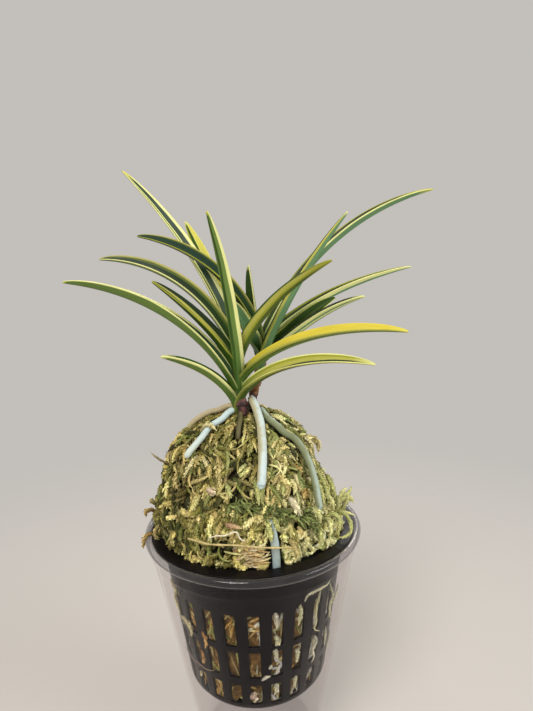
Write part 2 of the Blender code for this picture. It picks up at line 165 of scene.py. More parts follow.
class Nodes:
    """A short way to write a node material."""

    def __init__(self, name):
        self.material = bpy.data.materials.new(name)
        self.material.use_nodes = True
        self.tree = self.material.node_tree
        self.shader = self.tree.nodes["Principled BSDF"]
        self.output = self.tree.nodes["Material Output"]

    def add(self, kind, inputs=None, **settings):
        """A node, its inputs given by name or index."""
        node = self.tree.nodes.new("ShaderNode" + kind)
        for key, value in settings.items():
            setattr(node, key, value)
        for key, value in (inputs or {}).items():
            self.link(value, node.inputs[key])
        return node

    def link(self, value, socket):
        """Sets a socket to a constant or joins it to another."""
        if isinstance(value, bpy.types.NodeSocket):
            self.tree.links.new(value, socket)
        elif socket.type == "RGBA":
            socket.default_value = (*as_colour(value), 1.0)
        else:
            socket.default_value = value

    def math(self, operation, a, b=0.0):
        return self.add("Math", {0: a, 1: b}, operation=operation).outputs[0]

    def between(self, value, low, high, out_low=0.0, out_high=1.0):
        """The value's range from low to high, spread over another range and clamped to it."""
        node = self.add("MapRange", {"Value": value, "From Min": low, "From Max": high,
                                     "To Min": out_low, "To Max": out_high})
        return node.outputs["Result"]

    def mix(self, amount, a, b, blend="MIX"):
        node = self.add("Mix", data_type="RGBA", blend_type=blend)
        for value, index in ((amount, 0), (a, 6), (b, 7)):
            self.link(value, node.inputs[index])
        return node.outputs[2]

    def ramp(self, value, stops):
        node = self.add("ValToRGB", {"Fac": value})
        elements = node.color_ramp.elements
        while len(elements) < len(stops):
            elements.new(0.5)
        for element, (place, tone) in zip(elements, stops):
            element.position = place
            element.color = (*as_colour(tone), 1.0)
        return node.outputs["Color"]

    def noise(self, scale, detail=2.0, roughness=0.5, vector=None):
        """Noise over the object, or over another vector."""
        vector = vector or self.place()
        node = self.add("TexNoise", {"Vector": vector, "Scale": scale, "Detail": detail,
                                     "Roughness": roughness})
        return node.outputs["Fac"]

    def bump(self, height, strength, distance):
        node = self.add("Bump", {"Height": height, "Strength": strength, "Distance": distance})
        self.link(node.outputs["Normal"], self.shader.inputs["Normal"])

    def place(self):
        return self.add("TexCoord").outputs["Object"]

    def parts(self, vector):
        return self.add("SeparateXYZ", {0: vector}).outputs

    def shifted(self, value, noise, amount):
        """A value moved up and down by a noise."""
        return self.math("ADD", value, self.math("MULTIPLY", self.math("SUBTRACT", noise, 0.5), amount))

    def vector(self, x, y, z):
        return self.add("CombineXYZ", {0: x, 1: y, 2: z}).outputs[0]

    def attribute(self, name):
        return self.add("Attribute", attribute_name=name).outputs["Vector"]

    def shaded(self, tone, shade):
        """A tone made darker or lighter by a factor."""
        grey = self.add("CombineColor", {0: shade, 1: shade, 2: shade}).outputs[0]
        return self.mix(1.0, tone, grey, "MULTIPLY")

    def blend(self, amount, first, second):
        return self.add("MixShader", {0: amount, 1: first, 2: second}).outputs[0]

    def set(self, **values):
        """The finished material, with the main shader's values."""
        for key, value in values.items():
            self.link(value, self.shader.inputs[key.replace("_", " ")])
        return self.material

    def surface(self, shader):
        """The finished material, with another surface in the main shader's place."""
        self.tree.links.new(shader, self.output.inputs["Surface"])
        self.tree.nodes.remove(self.shader)
        return self.material


# The leaves

FLANK = 3.4  # half width of a blade along its fold, in mm
SHEATH_WIDTH = 0.62  # share of that width at the sheath
EDGE_THICKNESS, KEEL_EXTRA = 0.4, 0.75  # of a blade's margins, and what its keel adds, in mm
KEEL_ROUNDING = 0.16
SHEATH_FOLD, BLADE_FOLD, TIP_FOLD = 74, 56, 36  # how far each flank is folded up, in degrees
RINGS = 56
FINE_STEPS = 8  # steps of the law for each ring
SPAN = 9  # points across each flank
FOOT = 9.0  # length of the foot on the stem, in mm
FOOT_ROWS = 7
CLOSE = 2.5  # how near the stem's axis a keel is drawn, in mm
CLASP_FROM, CLASP_OVER = 3.0, 4.0  # a foot opens the more, the further off the axis it starts, in mm
ROLL_SPAN = 0.6  # share of a leaf over which it rolls


# A leaf's law, as in the solids: where its keel starts in mm, its heading and turn, its length, its
# rise at its foot and tip with the bend between them, and its sheath's length. Then its looks: stripes
# of its inner and outer face, roll, taper, tip, width, and how far its fold is opened. Stripes give the
# end and tone of each stripe in turn, and the last one's tone alone. Across a blade 0 is the margin on
# its right and 1 the one on its left, seen from its foot.
Leaf = namedtuple("Leaf", "name base heading turn length rise tip_rise bend sheath inner outer roll"
                          " tip_roll taper tip tip_from width opened",
                  defaults=(0, 0, 4.5, LEMON, 0.94, 1, 0))


def bands(stripes):
    """Ramp stops of stripes, with short soft edges."""
    stops = []
    start = 0.0
    for end, tone in zip((*stripes[:-1:2], 1.0), (*stripes[1::2], stripes[-1])):
        soft = min(0.02, 0.3 * (end - start))
        stops += [(start + soft, tone), (end - soft, tone)]
        start = end
    return stops


LEAVES = (
    Leaf("front_leaf_01", (-5, -5, 153.5), 204, -6, 40, 88, 16, 0.5, 8, (0.3, FERN, 0.88, MOSSY, CREAM),
         (0.46, SAGE, 0.54, LIME, 0.88, SAGE, CREAM), -24, -6, tip=CREAM, tip_from=0.84),
    Leaf("front_leaf_02", (-4, -5.5, 154.5), -24, 14, 63, 95, -11, 0.4, 10,
         (0.3, CREAM, 0.58, DEEP, 0.8, BUTTER, 0.93, LIME, CREAM), (0.16, BUTTER, MOSSY),
         32, 42, 3.6, CREAM, 0.86),
    Leaf("front_leaf_03", (-4, -5, 159), 186, -4, 86, 70, 6, 0.9, 10,
         (0.1, CREAM, 0.32, TEAL, 0.5, CREAM, 0.9, TEAL, CREAM), (0.5, MOSSY, 0.94, SAGE, CREAM),
         -36, 4, 5.5, LEMON, 0.96, 1.15),
    # front_leaf_04's outer face ends in sage made lighter: painted light on its shaded underside.
    Leaf("front_leaf_04", (-4, -5, 162), -16, 6, 75, 78, -7, 0.45, 10,
         (0.12, LIME, 0.4, SAGE, 0.55, MOSSY, GOLD), (0.14, BUTTER, 0.22, MOSSY, SAGE * 1.25),
         18, 30, tip=LEMON, tip_from=0.9),
    Leaf("front_leaf_05", (-4, -6.6, 160.9), 226, 6, 72, 88, 71, 1.1, 11,
         (0.13, CREAM, 0.24, LIME, 0.76, DEEP, 0.87, LIME, CREAM),
         (0.08, LIME, 0.5, SAGE, 0.58, FERN, 0.8, SAGE, CREAM), taper=3.6, width=1.06),
    Leaf("front_leaf_06", (-4, -4, 166.5), 196, 0, 52, 88, 39, 0.35, 11,
         (0.24, DEEP, 0.38, BUTTER, 0.94, DEEP, LIME), (0.06, LEMON, 0.95, FERN, LIME),
         -38, -38, 3, LIME, 0.96, 1.15),
    Leaf("front_leaf_07", (-3.06, -2, 168.5), -24, 6, 61.1, 102, 27.7, 0.39, 5,
         (0.5, FERN, 0.7, MOSSY, LIME), (0.04, FERN, 0.24, BUTTER, 0.34, LIME, 0.8, MOSSY, SAGE),
         tip=LIME, tip_from=0.6, width=1.22),
    Leaf("front_leaf_08", (-4, -1.5, 173.5), 172, 2, 75, 72, 1, 1.05, 10,
         (0.1, STRAW, 0.22, MOSSY, 0.8, DEEP, 0.93, FERN, CREAM), (0.54, STRAW, 0.94, SAGE, CREAM),
         -40, -32, 4, STRAW, 0.97, 1.18),
    Leaf("front_leaf_09", (-4, 4, 168.5), 152, 2, 105, 99, 43, 0.35, 16,
         (0.16, CREAM, 0.44, TEAL, 0.54, CREAM, 0.86, SAGE, CREAM), (0.5, SAGE, 0.92, MOSSY, CREAM),
         -20, -18, 2.6, LEMON, 0.92, 1.25, 8),
    Leaf("front_leaf_10", (-3.5, 9.5, 168), 134, 2, 74, 90, 53, 0.35, 15, (0.5, LEMON, 0.84, FERN, LIME),
         (0.2, LEMON, 0.7, LIME, CREAM), -36, -36, 3, CREAM, 0.96, 1.2, 14),
    Leaf("rear_leaf_01", (6, 3, 167.5), 2, 2, 75, 87, 51, 0.35, 10, (0.16, LEMON, TEAL),
         (0.12, BUTTER, BLUISH), taper=3, tip=CREAM),
    Leaf("rear_leaf_02", (6, 16.6, 170.5), 50, 0, 42, 101, 97, 1.85, 10, (0.2, CREAM, FERN),
         (0.2, CREAM, 0.86, BLUISH, FERN), taper=3, tip=CREAM),
    Leaf("rear_leaf_03", (4.4, 4.5, 174.5), 184, 0, 26, 68, 61, 0.85, 6,
         (0.1, CREAM, 0.5, BLUISH, 0.58, FERN, 0.84, BLUISH, LIME), (0.12, LEMON, BLUISH),
         -56, -56, width=1.32),
    Leaf("rear_leaf_04", (8, 7.2, 172.5), -12, 0, 49, 40, 16, 1.9, 7, (0.08, CREAM, UMBER),
         (0.16, CREAM, 0.28, BLUISH, 0.4, CREAM, BLUISH), 22, 10, 3.5, CREAM, 0.88),
    Leaf("rear_leaf_05", (8, 10.9, 173), 4, 0, 39, 41, 30, 3, 8,
         (0.06, LIME, 0.26, FERN, 0.3, MOSSY, 0.6, FERN, 0.64, MOSSY, 0.96, FERN, LIME),
         (0.1, CREAM, BLUISH), 46, 46, 3.5, FERN, 0.97, 1.25),
    Leaf("rear_leaf_06", (5, 7.6, 178), 186, 0, 71, 77, 10, 1.05, 7,
         (0.07, STRAW, 0.14, MOSSY, 0.95, TEAL, LIME), (0.5, MOSSY, 0.95, TEAL, LIME),
         -36, -44, 4, MOSSY, 0.98, 1.15),
    Leaf("rear_leaf_07", (7, 13, 177.5), 8, 0, 105, 67, 12, 1.05, 7, (0.06, CREAM, 0.94, UMBER, LIME),
         (0.06, CREAM, BLUISH), 20, 10, 4.5, LEMON, 0.84),
    Leaf("rear_leaf_08", (8.5, 12.5, 177.5), 20, 0, 82, 62, 10, 0.35, 7, (0.12, CREAM, 0.9, UMBER, LIME),
         (0.28, CREAM, BLUISH), 14, 2, 3, CREAM, 0.94),
)


def stem_axis(name, height):
    """Point of a stem's axis at a height."""
    stem = np.array(STEMS["front_stem" if name.startswith("front") else "rear_stem"])
    return read_along(stem, stem[:, 2], height)


def leaf_curve(leaf):
    """Fractions, places, side directions and face directions along a leaf, from its foot on the stem.

    The fraction is 0 where the leaf parts from its stem, below 0 down its foot and 1 at its tip.
    The last value is how far from the stem's axis the leaf's law starts.
    """
    steps = RINGS * FINE_STEPS
    s = np.linspace(0.0, 1.0, steps + 1)
    rise = np.radians(leaf.rise + (leaf.tip_rise - leaf.rise) * s ** leaf.bend)
    heading = np.radians(leaf.heading + leaf.turn * s)
    along = np.stack([np.cos(rise) * np.cos(heading), np.cos(rise) * np.sin(heading), np.sin(rise)], 1)
    step = (along[1:] + along[:-1]) / 2 * (leaf.length / steps)
    place = np.array(leaf.base) + np.vstack([np.zeros(3), np.cumsum(step, 0)])
    side = np.stack([-np.sin(heading), np.cos(heading), np.zeros_like(s)], 1)
    face = np.cross(along, side)
    rolled = np.minimum(1.0, s / ROLL_SPAN)
    roll = np.radians(leaf.roll + (leaf.tip_roll - leaf.roll) * rolled)[:, None]
    side, face = side * np.cos(roll) + face * np.sin(roll), face * np.cos(roll) - side * np.sin(roll)
    picks = 1 - (1 - np.linspace(0.0, 1.0, RINGS + 1)[:-1]) ** 1.5
    place, side, face = (read_along(part, s, picks) for part in (place, side, face))
    out = (place[0] - stem_axis(leaf.name, leaf.base[2])) * (1, 1, 0)
    aside = np.linalg.norm(out)
    from_stem = out / aside if aside > CLOSE else np.array([0.0, -1.0, 0.0])
    drawn = max(0.0, aside - CLOSE) * np.maximum(0.0, 1 - picks / 0.4) ** 2
    place = place - from_stem * drawn[:, None]
    root = stem_axis(leaf.name, leaf.base[2] - FOOT) + from_stem
    knee = place[0] - unit(place[1] - place[0]) * 0.45 * FOOT
    t = np.linspace(0.0, 1.0, FOOT_ROWS + 1)[:-1, None]
    foot = (1 - t) ** 2 * root + 2 * t * (1 - t) * knee + t ** 2 * place[0]
    fractions = (t[:, 0] - 1) * FOOT / leaf.length
    side, face = (np.pad(part, ((FOOT_ROWS, 0), (0, 0)), "edge") for part in (side, face))
    return np.concatenate([fractions, picks]), np.concatenate([foot, place]), side, face, aside


def leaf_piece(leaf):
    """A folded blade with a rounded keel, running on down into the foot that clasps the stem."""
    *rows, aside = leaf_curve(leaf)
    sheath = leaf.sheath / leaf.length
    clasp = min(1.0, max(0.0, aside - CLASP_FROM) / CLASP_OVER)
    across = np.linspace(-1.0, 1.0, 2 * SPAN + 1)
    across_map = (across + 1) / 2
    soft = KEEL_ROUNDING
    bowl = (np.sqrt(across ** 2 + soft ** 2) - soft) / (math.sqrt(1 + soft ** 2) - soft)
    points, maps = [], []
    for s, place, side, face in zip(*rows):
        blade = min(1.0, max(0.0, s) / sheath)
        if s > sheath:
            fold = BLADE_FOLD + (TIP_FOLD - BLADE_FOLD) * s
        else:
            fold = SHEATH_FOLD + (BLADE_FOLD - SHEATH_FOLD) * blade
        down = min(0.0, s) * leaf.length / FOOT
        fold = math.radians(fold) - math.radians(leaf.opened * blade - 30 * clasp * down)
        tip = (1 - max(0.0, s) ** leaf.taper) ** 0.62
        foot = 1 + 0.5 * (1 - 1.4 * clasp) * down
        flank = FLANK * leaf.width * max(tip, 0.03) * (SHEATH_WIDTH + (1 - SHEATH_WIDTH) * blade) * foot
        a = flank * math.cos(fold) * across
        b = flank * math.sin(fold) * bowl
        thick = (EDGE_THICKNESS + KEEL_EXTRA * (1 - np.abs(across)) ** 0.8) * (0.45 + 0.55 * tip)
        slope = np.gradient(b, a)
        out = unit(np.stack([slope, -np.ones_like(slope)], 1))
        inner = place + np.outer(a, side) + np.outer(b, face)
        outer = place + np.outer(a + out[:, 0] * thick, side) + np.outer(b + out[:, 1] * thick, face)
        points += [inner, outer[::-1]]
        maps += [(v, s, 0.0) for v in across_map] + [(v, s, 1.0) for v in across_map[::-1]]
    faces = closed_faces(len(rows[0]), 2 * len(across))
    obj = new_piece(leaf.name + "_blade", np.vstack(points), faces, leaf_material(leaf))
    set_vectors(obj, "leaf_map", maps)
    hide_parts(leaf.name)


def leaf_material(leaf):
    """Lengthwise stripes that drift a little, fine veins, a toned tip and a dark foot."""
    m = Nodes(leaf.name + "_striped")
    seed = float(sum(map(ord, leaf.name)) % 97)
    across, along, back = m.parts(m.attribute("leaf_map"))
    length = m.math("MULTIPLY", along, leaf.length / 10)
    drift = m.noise(0.8, vector=m.vector(m.math("MULTIPLY", across, 2.0), length, seed))
    wobbled = m.shifted(across, drift, 0.07)
    veins = m.noise(1.0, vector=m.vector(m.math("MULTIPLY", across, 22.0), length, seed))
    tones = []
    for stripes, tip_from in ((leaf.inner, leaf.tip_from), (leaf.outer, 0.5 + 0.5 * leaf.tip_from)):
        at_tip = m.between(along, tip_from, 1.0, 0.0, 0.9)
        tones.append(m.mix(at_tip, m.ramp(wobbled, bands(stripes)), leaf.tip))
    tone = m.shaded(m.mix(back, *tones), m.between(veins, 0.3, 0.7, 0.84, 1.1))
    start = leaf.sheath / leaf.length
    tone = m.mix(m.between(along, start * 1.5, start * 0.9, 0.0, 0.45), tone, FERN)
    tone = m.mix(m.between(along, 0.45, 0.05, 0.0, 0.45), tone, FERN * 1.6)
    foot = FOOT / leaf.length
    foot_tone = PLUM if leaf.name.startswith("front") else COPPER
    tone = m.mix(m.between(along, -0.1 * foot, -0.8 * foot, 0.0, 0.9), tone, foot_tone)
    m.bump(veins, 0.1, 0.0002)
    gloss = m.between(drift, 0.3, 0.7, 0.42, 0.56)
    return m.set(Base_Color=tone, Roughness=gloss, Specular_IOR_Level=0.3)


# Tubes for stems, roots and threads

def smooth_route(points, count):
    """Points spaced along a smooth curve through a route's own points."""
    route = np.array(points, float)
    route = np.vstack([2 * route[0] - route[1], route, 2 * route[-1] - route[-2]])
    spans = len(route) - 3
    t = np.linspace(0, spans, count + 1)
    k = np.minimum(t.astype(int), spans - 1)
    u = (t - k)[:, None]
    a, b, c, d = (route[k + i] for i in range(4))
    return 0.5 * (2 * b + (c - a) * u + (2 * a - 5 * b + 4 * c - d) * u ** 2
                  + (3 * b - a - 3 * c + d) * u ** 3)


def tube(route, radii, sides):
    """Points and faces of a closed tube along a route, with its maps of (right, up, along)."""
    along = unit(np.gradient(route, axis=0))
    across = unit(np.cross(along, (0.0, 0.0, 1.0)))
    over = np.cross(across, along)
    rows = len(route)
    angles = round_angles(sides)
    radii = np.broadcast_to(np.reshape(radii, (rows, -1)), (rows, sides))[..., None]
    points = (route[:, None] + radii * (np.cos(angles)[:, None] * across[:, None]
                                        + np.sin(angles)[:, None] * over[:, None]))
    maps = np.stack(np.broadcast_arrays(np.cos(angles)[None], np.sin(angles)[None],
                                        np.linspace(0, 1, rows)[:, None]), -1)
    return points.reshape(-1, 3), closed_faces(rows, sides), maps.reshape(-1, 3)


# Radius and route of each root in mm, then the tones of its skin, of its one side (warmer skin, and painted
# shade on the shadow side, darkest on root_03) and of its end
ROOTS = {
    "root_01": (1.25, ((-6, -7, 153.9), (-7.8, -8.2, 153.4), (-11.1, -10.4, 150.9), (-15.1, -12.6, 148.9),
        (-17.9, -17, 146.2), (-20.6, -19.2, 143.6), (-23.4, -21, 140.4), (-24.6, -21.6, 136.4))),
    "root_02": (1.68, ((0.9, -3.4, 158), (2.4, -5.5, 156), (3.7, -9, 153.2), (4.7, -13.4, 150.4),
        (5.2, -18.6, 147.2), (5.5, -24.8, 142), (5.2, -29.2, 136.8), (4.7, -31.6, 132.8),
        (4.4, -30.6, 129.6), (4.2, -27.8, 127.6))),
    "root_03": (1.38, ((5.2, 1.6, 151.6), (6, -3.4, 151.4), (8, -8.4, 150.2), (11.2, -11.2, 148.2),
        (14.2, -12.8, 145.4), (18, -12.2, 142.8), (20.7, -13.4, 139.6), (22.8, -15.8, 135.9),
        (24.3, -18.2, 132.2), (25.3, -21, 128.2), (26, -23.6, 122.8), (26.4, -24.4, 119),
        (25.8, -23.8, 115.6), (23.4, -22, 113.4))),
    "root_04": (1.2, ((-6, -2.6, 154.3), (-8.6, -1.9, 154.4), (-12.9, -0.2, 152.3), (-16.3, 0.8, 151.3),
        (-20.7, 1, 149.2), (-24.4, 0.4, 146.4), (-27, 0, 142.4))),
    "root_05": (1.55, ((7.2, -31.4, 119), (8, -33.8, 115.6), (8.8, -34.7, 111.2), (9.2, -34.8, 106.6),
        (9.4, -34.2, 101), (9.3, -33, 94))),
    "root_stub": (1, ((-3.2, -8.4, 153), (-3.2, -11.2, 151.4), (-3.5, -14.6, 149.9), (-3.9, -17.4, 147.6),
        (-4.1, -18.6, 144.8))),
}
ROOT_LOOKS = {
    "root_01": ("C3D6D6", "B6C4B8", "CED8CC"),
    "root_02": ("CDDAD4", "B7AB7A", "C9DCDE"),
    "root_03": ("9FAE9A", "7A7E54", "B6C4BA"),
    "root_04": ("BDAE8A", "A08C62", "B8AA80"),
    "root_05": ("BED0D2", "AEBBB2", "B4C8CA"),
    "root_stub": ("6A6440", "4A4226", "5A5434"),
}
# Share of its route that a root keeps, and the shares between which moss keeps clear of a root
ROOT_ENDS = {"root_01": 0.9}
BARE_SPANS = {"root_02": (0.0, 0.84), "root_03": (0.14, 0.9), "root_05": (0.32, 1.0)}
ROOT_GRID, STEM_GRID = (72, 18), (64, 20)  # steps along and around
STEM_SCARS = 7.0  # rings that old leaves left on a stem


def root_piece(name):
    """A root as a slightly uneven tube, rounded at its end."""
    radius, route = ROOTS[name]
    rows, sides = ROOT_GRID
    path = smooth_route(route, rows)
    shown = np.linspace(0, rows * ROOT_ENDS.get(name, 1.0), rows + 1)
    path = read_along(path, np.arange(rows + 1), shown)
    t = np.linspace(0, 1, rows + 1)[:, None]
    around = round_angles(sides)[None]
    swell = 1 + 0.03 * np.sin(13 * t + around) + 0.015 * np.sin(47 * t - 3 * around + 1.0)
    ends = np.minimum(1.0, 0.5 + 14 * (1 - t)) * np.minimum(1.0, 0.75 + 5 * t)
    points, faces, maps = tube(path, radius * swell * ends, sides)
    obj = new_piece(name + "_velamen", points, faces, root_material(name))
    set_vectors(obj, "tube_map", maps)
    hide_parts(name)


def root_material(name):
    """Spongy silvery skin: one side warmer, partly painted shade, with fine flecks and an end of its own
    tone.
    """
    m = Nodes(name + "_skin")
    base, warm_and_shade_tone, end = map(colour, ROOT_LOOKS[name])
    right, _, along = m.parts(m.attribute("tube_map"))
    blotch = m.noise(180.0, 3.0, 0.6)
    fine = m.noise(1600.0, 3.0, 0.6)
    # One side of the tube takes the side tone: warmer skin, and painted shade where it stands for the
    # shadow side.
    warm_and_shaded_side = m.shifted(right, blotch, 1.2)
    tone = m.mix(m.between(along, 0.5, 0.9), base, end)
    tone = m.mix(m.between(warm_and_shaded_side, -0.1, 0.6, 0.0, 0.9), tone, warm_and_shade_tone)
    tone = m.mix(m.between(blotch, 0.52, 0.66, 0.0, 0.35), tone, warm_and_shade_tone * 0.8)
    tone = m.mix(m.between(fine, 0.35, 0.7, 0.0, 0.3), tone, base * 0.62)
    m.bump(fine, 0.3, 0.0003)
    return m.set(Base_Color=tone, Roughness=0.62, Specular_IOR_Level=0.35)


# Places along each stem's axis, with its radius there, in mm
STEMS = {
    "front_stem": ((-2, -5, 144, 1.8), (-2.3, -5, 151, 2.4), (-3, -5, 156, 2.7), (-3.8, -4.8, 161, 2.6),
        (-4.1, -4.2, 166, 2.3), (-4, -3, 171, 1.9), (-3.6, -2, 175, 1.3)),
    "rear_stem": ((0.6, 7, 144, 1.7), (1.1, 7, 152, 1.9), (2.2, 7, 158, 1.9), (3.9, 7, 164, 2),
        (5.4, 7.5, 169, 2.1), (6.1, 8.2, 174, 2), (6.2, 8.8, 178, 1.4)),
}


def stem_piece(name):
    """A stem wrapped in the scaly feet of old leaves."""
    stem = np.array(STEMS[name])
    rows, sides = STEM_GRID
    path = smooth_route(stem[:, :3], rows)
    radius = np.interp(np.linspace(0, 1, rows + 1), np.linspace(0, 1, len(stem)), stem[:, 3])[:, None]
    t = np.linspace(0, 1, rows + 1)[:, None] * STEM_SCARS
    around = round_angles(sides)[None]
    scar = 0.85 + 0.22 * (1 - (t + 0.25 * np.cos(around)) % 1.0)
    rough = 1 + 0.07 * np.sin(5 * around + 9 * t) + 0.05 * np.sin(9 * around - 17 * t)
    points, faces, _ = tube(path, radius * scar * rough, sides)
    obj = new_piece(name + "_bark", points, faces, stem_material(name))
    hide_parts(name)


def stem_material(name):
    """Purple brown bark, and dry copper bark over the upper part of the rear stem."""
    m = Nodes(name + "_bark")
    coarse = m.noise(420.0, 3.0, 0.6)
    fine = m.noise(1500.0, 3.0, 0.65)
    young = m.ramp(coarse, ((0.32, "26141A"), (0.48, "4E2E30"), (0.6, "74483C"),
                            (0.72, "A88078")))
    dry = m.ramp(coarse, ((0.3, "4A2A18"), (0.5, "96603A"), (0.72, "CFA070")))
    aged = m.between(m.parts(m.place())[2], 0.156, 0.159) if name == "rear_stem" else 0.0
    m.bump(fine, 0.6, 0.0006)
    return m.set(Base_Color=m.mix(aged, young, dry), Roughness=0.66)


# The moss

DOME_BOTTOM, DOME_TOP, DOME_RADIUS = 102.6, 151.0, 40.2
FLANGE_TOP = 102.3
STEPS = 11
STRAND_SIDES = 6
FLATNESS = 0.85  # of a strand, as it lies on the dome
CORE_UNDER = 2.6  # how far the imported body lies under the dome, in mm
# Shares of a strand's length, and its girth there
GIRTH_ALONG = ((0.0, 0.12, 0.4, 0.75, 1.0), (0.5, 0.85, 1.0, 0.72, 0.12))
STRAW_MOSS = colour("E4DA9C")
# Near-black painted shade at the dome's foot, in the gap by the net pot's rim.
MOSS_PAINTED_SHADE = colour("151309")
MOSS_TINTS = np.array([colour("7C7836"), colour("C6B878"), STRAW_MOSS, colour("7A8644"), colour("464A24"),
                       colour("B98A4A")])


def dome_rim(angle):
    """Radius of the dome's foot at an angle."""
    return DOME_RADIUS + 1.9 * np.sin(angle) + 1.6 * np.cos(2 * angle)


def dome_value(points):
    """Zero on the dome, negative inside."""
    x, y, z = points[..., 0], points[..., 1], points[..., 2]
    angle = np.arctan2(y, x)
    part = np.maximum(0.0, (z - DOME_BOTTOM) / (DOME_TOP - DOME_BOTTOM))
    return (x * x + y * y) / dome_rim(angle) ** 2 + part ** (2.3 - np.cos(angle)) - 1.0


def dome_normal(points):
    """Outward directions at points and how fast the dome's value grows along them."""
    step = 0.05
    parts = []
    for axis in range(3):
        shift = np.zeros(3)
        shift[axis] = step
        parts.append((dome_value(points + shift) - dome_value(points - shift)) / (2 * step))
    gradient = np.stack(parts, -1)
    size = np.linalg.norm(gradient, axis=-1, keepdims=True)
    return gradient / np.maximum(size, 1e-9), size


def onto_dome(points):
    """Points moved onto the dome."""
    for _ in range(4):
        normal, size = dome_normal(points)
        points = points - normal * np.clip(dome_value(points)[..., None] / np.maximum(size, 1e-3), -3, 3)
    return points


def dome_seeds(count):
    """Points spread evenly over the dome."""
    directions = RNG.normal(size=(count * 3, 3))
    directions[:, 2] = np.abs(directions[:, 2])
    seeds = unit(directions) * (40.0, 40.0, 46.0) + (0.0, 0.0, DOME_BOTTOM)
    return onto_dome(seeds[:count])


def dome_points(headings, heights):
    """Points of the dome at headings in degrees and heights in mm."""
    angle = np.radians(headings)
    return onto_dome(polar(angle, dome_rim(angle), heights))


def down_the_dome(normal):
    """The steepest way down the surface, and outwards where it is level."""
    down = np.array([0.0, 0.0, -1.0]) + normal * normal[:, 2:3]
    return unit(down + 0.15 * normal * (1, 1, 0))


def strand_paths(seeds, turns, curls, lengths, depth, lift):
    """Centre lines that creep down over the dome from their seeds, rising off it in the middle."""
    here = seeds.copy()
    normal, _ = dome_normal(here)
    down = down_the_dome(normal)
    way = unit(down * np.cos(turns)[:, None] + np.cross(normal, down) * np.sin(turns)[:, None])
    places, normals = [], []
    for k in range(STEPS + 1):
        normal, _ = dome_normal(here)
        way = unit(way - normal * np.sum(way * normal, 1, keepdims=True))
        part = k / STEPS
        rise = depth + lift * math.sin(math.pi * min(1.0, 0.12 + part * 0.75))
        places.append(here + normal * rise[:, None])
        normals.append(normal)
        way = unit(way * np.cos(curls)[:, None] + np.cross(normal, way) * np.sin(curls)[:, None])
        here = onto_dome(here + way * (lengths / STEPS)[:, None])
        here[:, 2] = np.maximum(here[:, 2], DOME_BOTTOM)
    places, normals = np.stack(places, 1), np.stack(normals, 1)
    places[..., 2] = np.maximum(places[..., 2], FLANGE_TOP + 0.6)
    return places, normals


def strand_mesh(places, normals, radii, tints, knob=0.24):
    """Plump pointed strands, knobbly like a plait, with small pointed leaves standing off them, in tints
    with painted light and shade.
    """
    count, rows, _ = places.shape
    ways = unit(np.gradient(places, axis=1))
    across = unit(np.cross(ways, normals))
    over = np.cross(across, ways)
    t = np.linspace(0, 1, rows)
    girth = radii[:, None] * np.interp(t, *GIRTH_ALONG)[None]
    turns = RNG.uniform(0, 2 * np.pi, count)[:, None]
    spiral = turns + 0.5 * np.arange(rows)[None]
    angles = spiral[..., None] + round_angles(STRAND_SIDES)
    raised = ((np.arange(rows)[:, None] + np.arange(STRAND_SIDES)[None]) % 2)[None]
    girths = girth[..., None] * (1 - knob + 2 * knob * raised) * RNG.uniform(0.88, 1.12, angles.shape)
    out = (np.cos(angles)[..., None] * across[:, :, None]
           + FLATNESS * np.sin(angles)[..., None] * over[:, :, None])
    body = places[:, :, None] + out * girths[..., None]
    index = np.arange(count * rows * STRAND_SIDES).reshape(count, rows, STRAND_SIDES)
    a, b = index[:, :-1], index[:, 1:]
    a2, b2 = np.roll(a, -1, 2), np.roll(b, -1, 2)
    faces = [np.stack([a, a2, b2], -1).reshape(-1, 3), np.stack([a, b2, b], -1).reshape(-1, 3)]
    # Painted light and shade: darker at a strand's start under the others and lighter towards its tip,
    # lighter on raised knobs, darker on the underside facing the dome.
    light = (0.62 + 0.5 * t ** 1.2)[None, :, None, None] * (0.76 + 0.42 * raised[..., None])
    light = light * (0.84 + 0.3 * np.sin(angles)[..., None])
    pale = STRAW_MOSS * np.clip(tints.max(1, keepdims=True) / 0.34, 0.0, 1.15)
    aged = 0.5 * (t ** 1.6)[None, :, None, None]
    body_tints = (tints[:, None, None] * (1 - aged) + pale[:, None, None] * aged) * light

    picks = np.arange(1, rows - 1)
    spin = RNG.uniform(0, 2 * np.pi, (count, len(picks), 2))
    d = np.cos(spin)[..., None] * across[:, picks, None] + np.sin(spin)[..., None] * over[:, picks, None]
    g = girth[:, picks, None]
    size = g * RNG.uniform(0.75, 1.3, spin.shape)
    way = ways[:, picks, None]
    foot = places[:, picks, None] + d * (0.75 * g)[..., None]
    flare = RNG.uniform(0.1, 0.65, spin.shape)
    tip = foot + (way * np.cos(flare)[..., None] + d * np.sin(flare)[..., None]) * (1.25 * size)[..., None]
    broad = np.cross(way, d) * (0.45 * size)[..., None]
    waist = foot * 0.6 + tip * 0.4 + d * (0.2 * size)[..., None]
    leaf = np.stack([foot, waist - broad, tip, waist + broad], -2)
    start = body.size // 3
    corner = start + 4 * np.arange(leaf.size // 12)[:, None]
    faces += [corner + (0, 1, 2), corner + (0, 2, 3)]
    shade = RNG.uniform(0.75, 1.25, spin.shape)[..., None, None]
    # Painted shade at a small leaf's foot against the strand, painted light at its tip.
    leaf_light = shade * np.array([0.7, 1.0, 1.3, 1.0])[:, None]
    leaf_tints = (0.75 * tints + 0.25 * pale)[:, None, None, None] * leaf_light
    points = np.concatenate([body.reshape(-1, 3), leaf.reshape(-1, 3)])
    all_tints = np.concatenate([body_tints.reshape(-1, 3), leaf_tints.reshape(-1, 3)])
    return points, np.concatenate(faces), all_tints


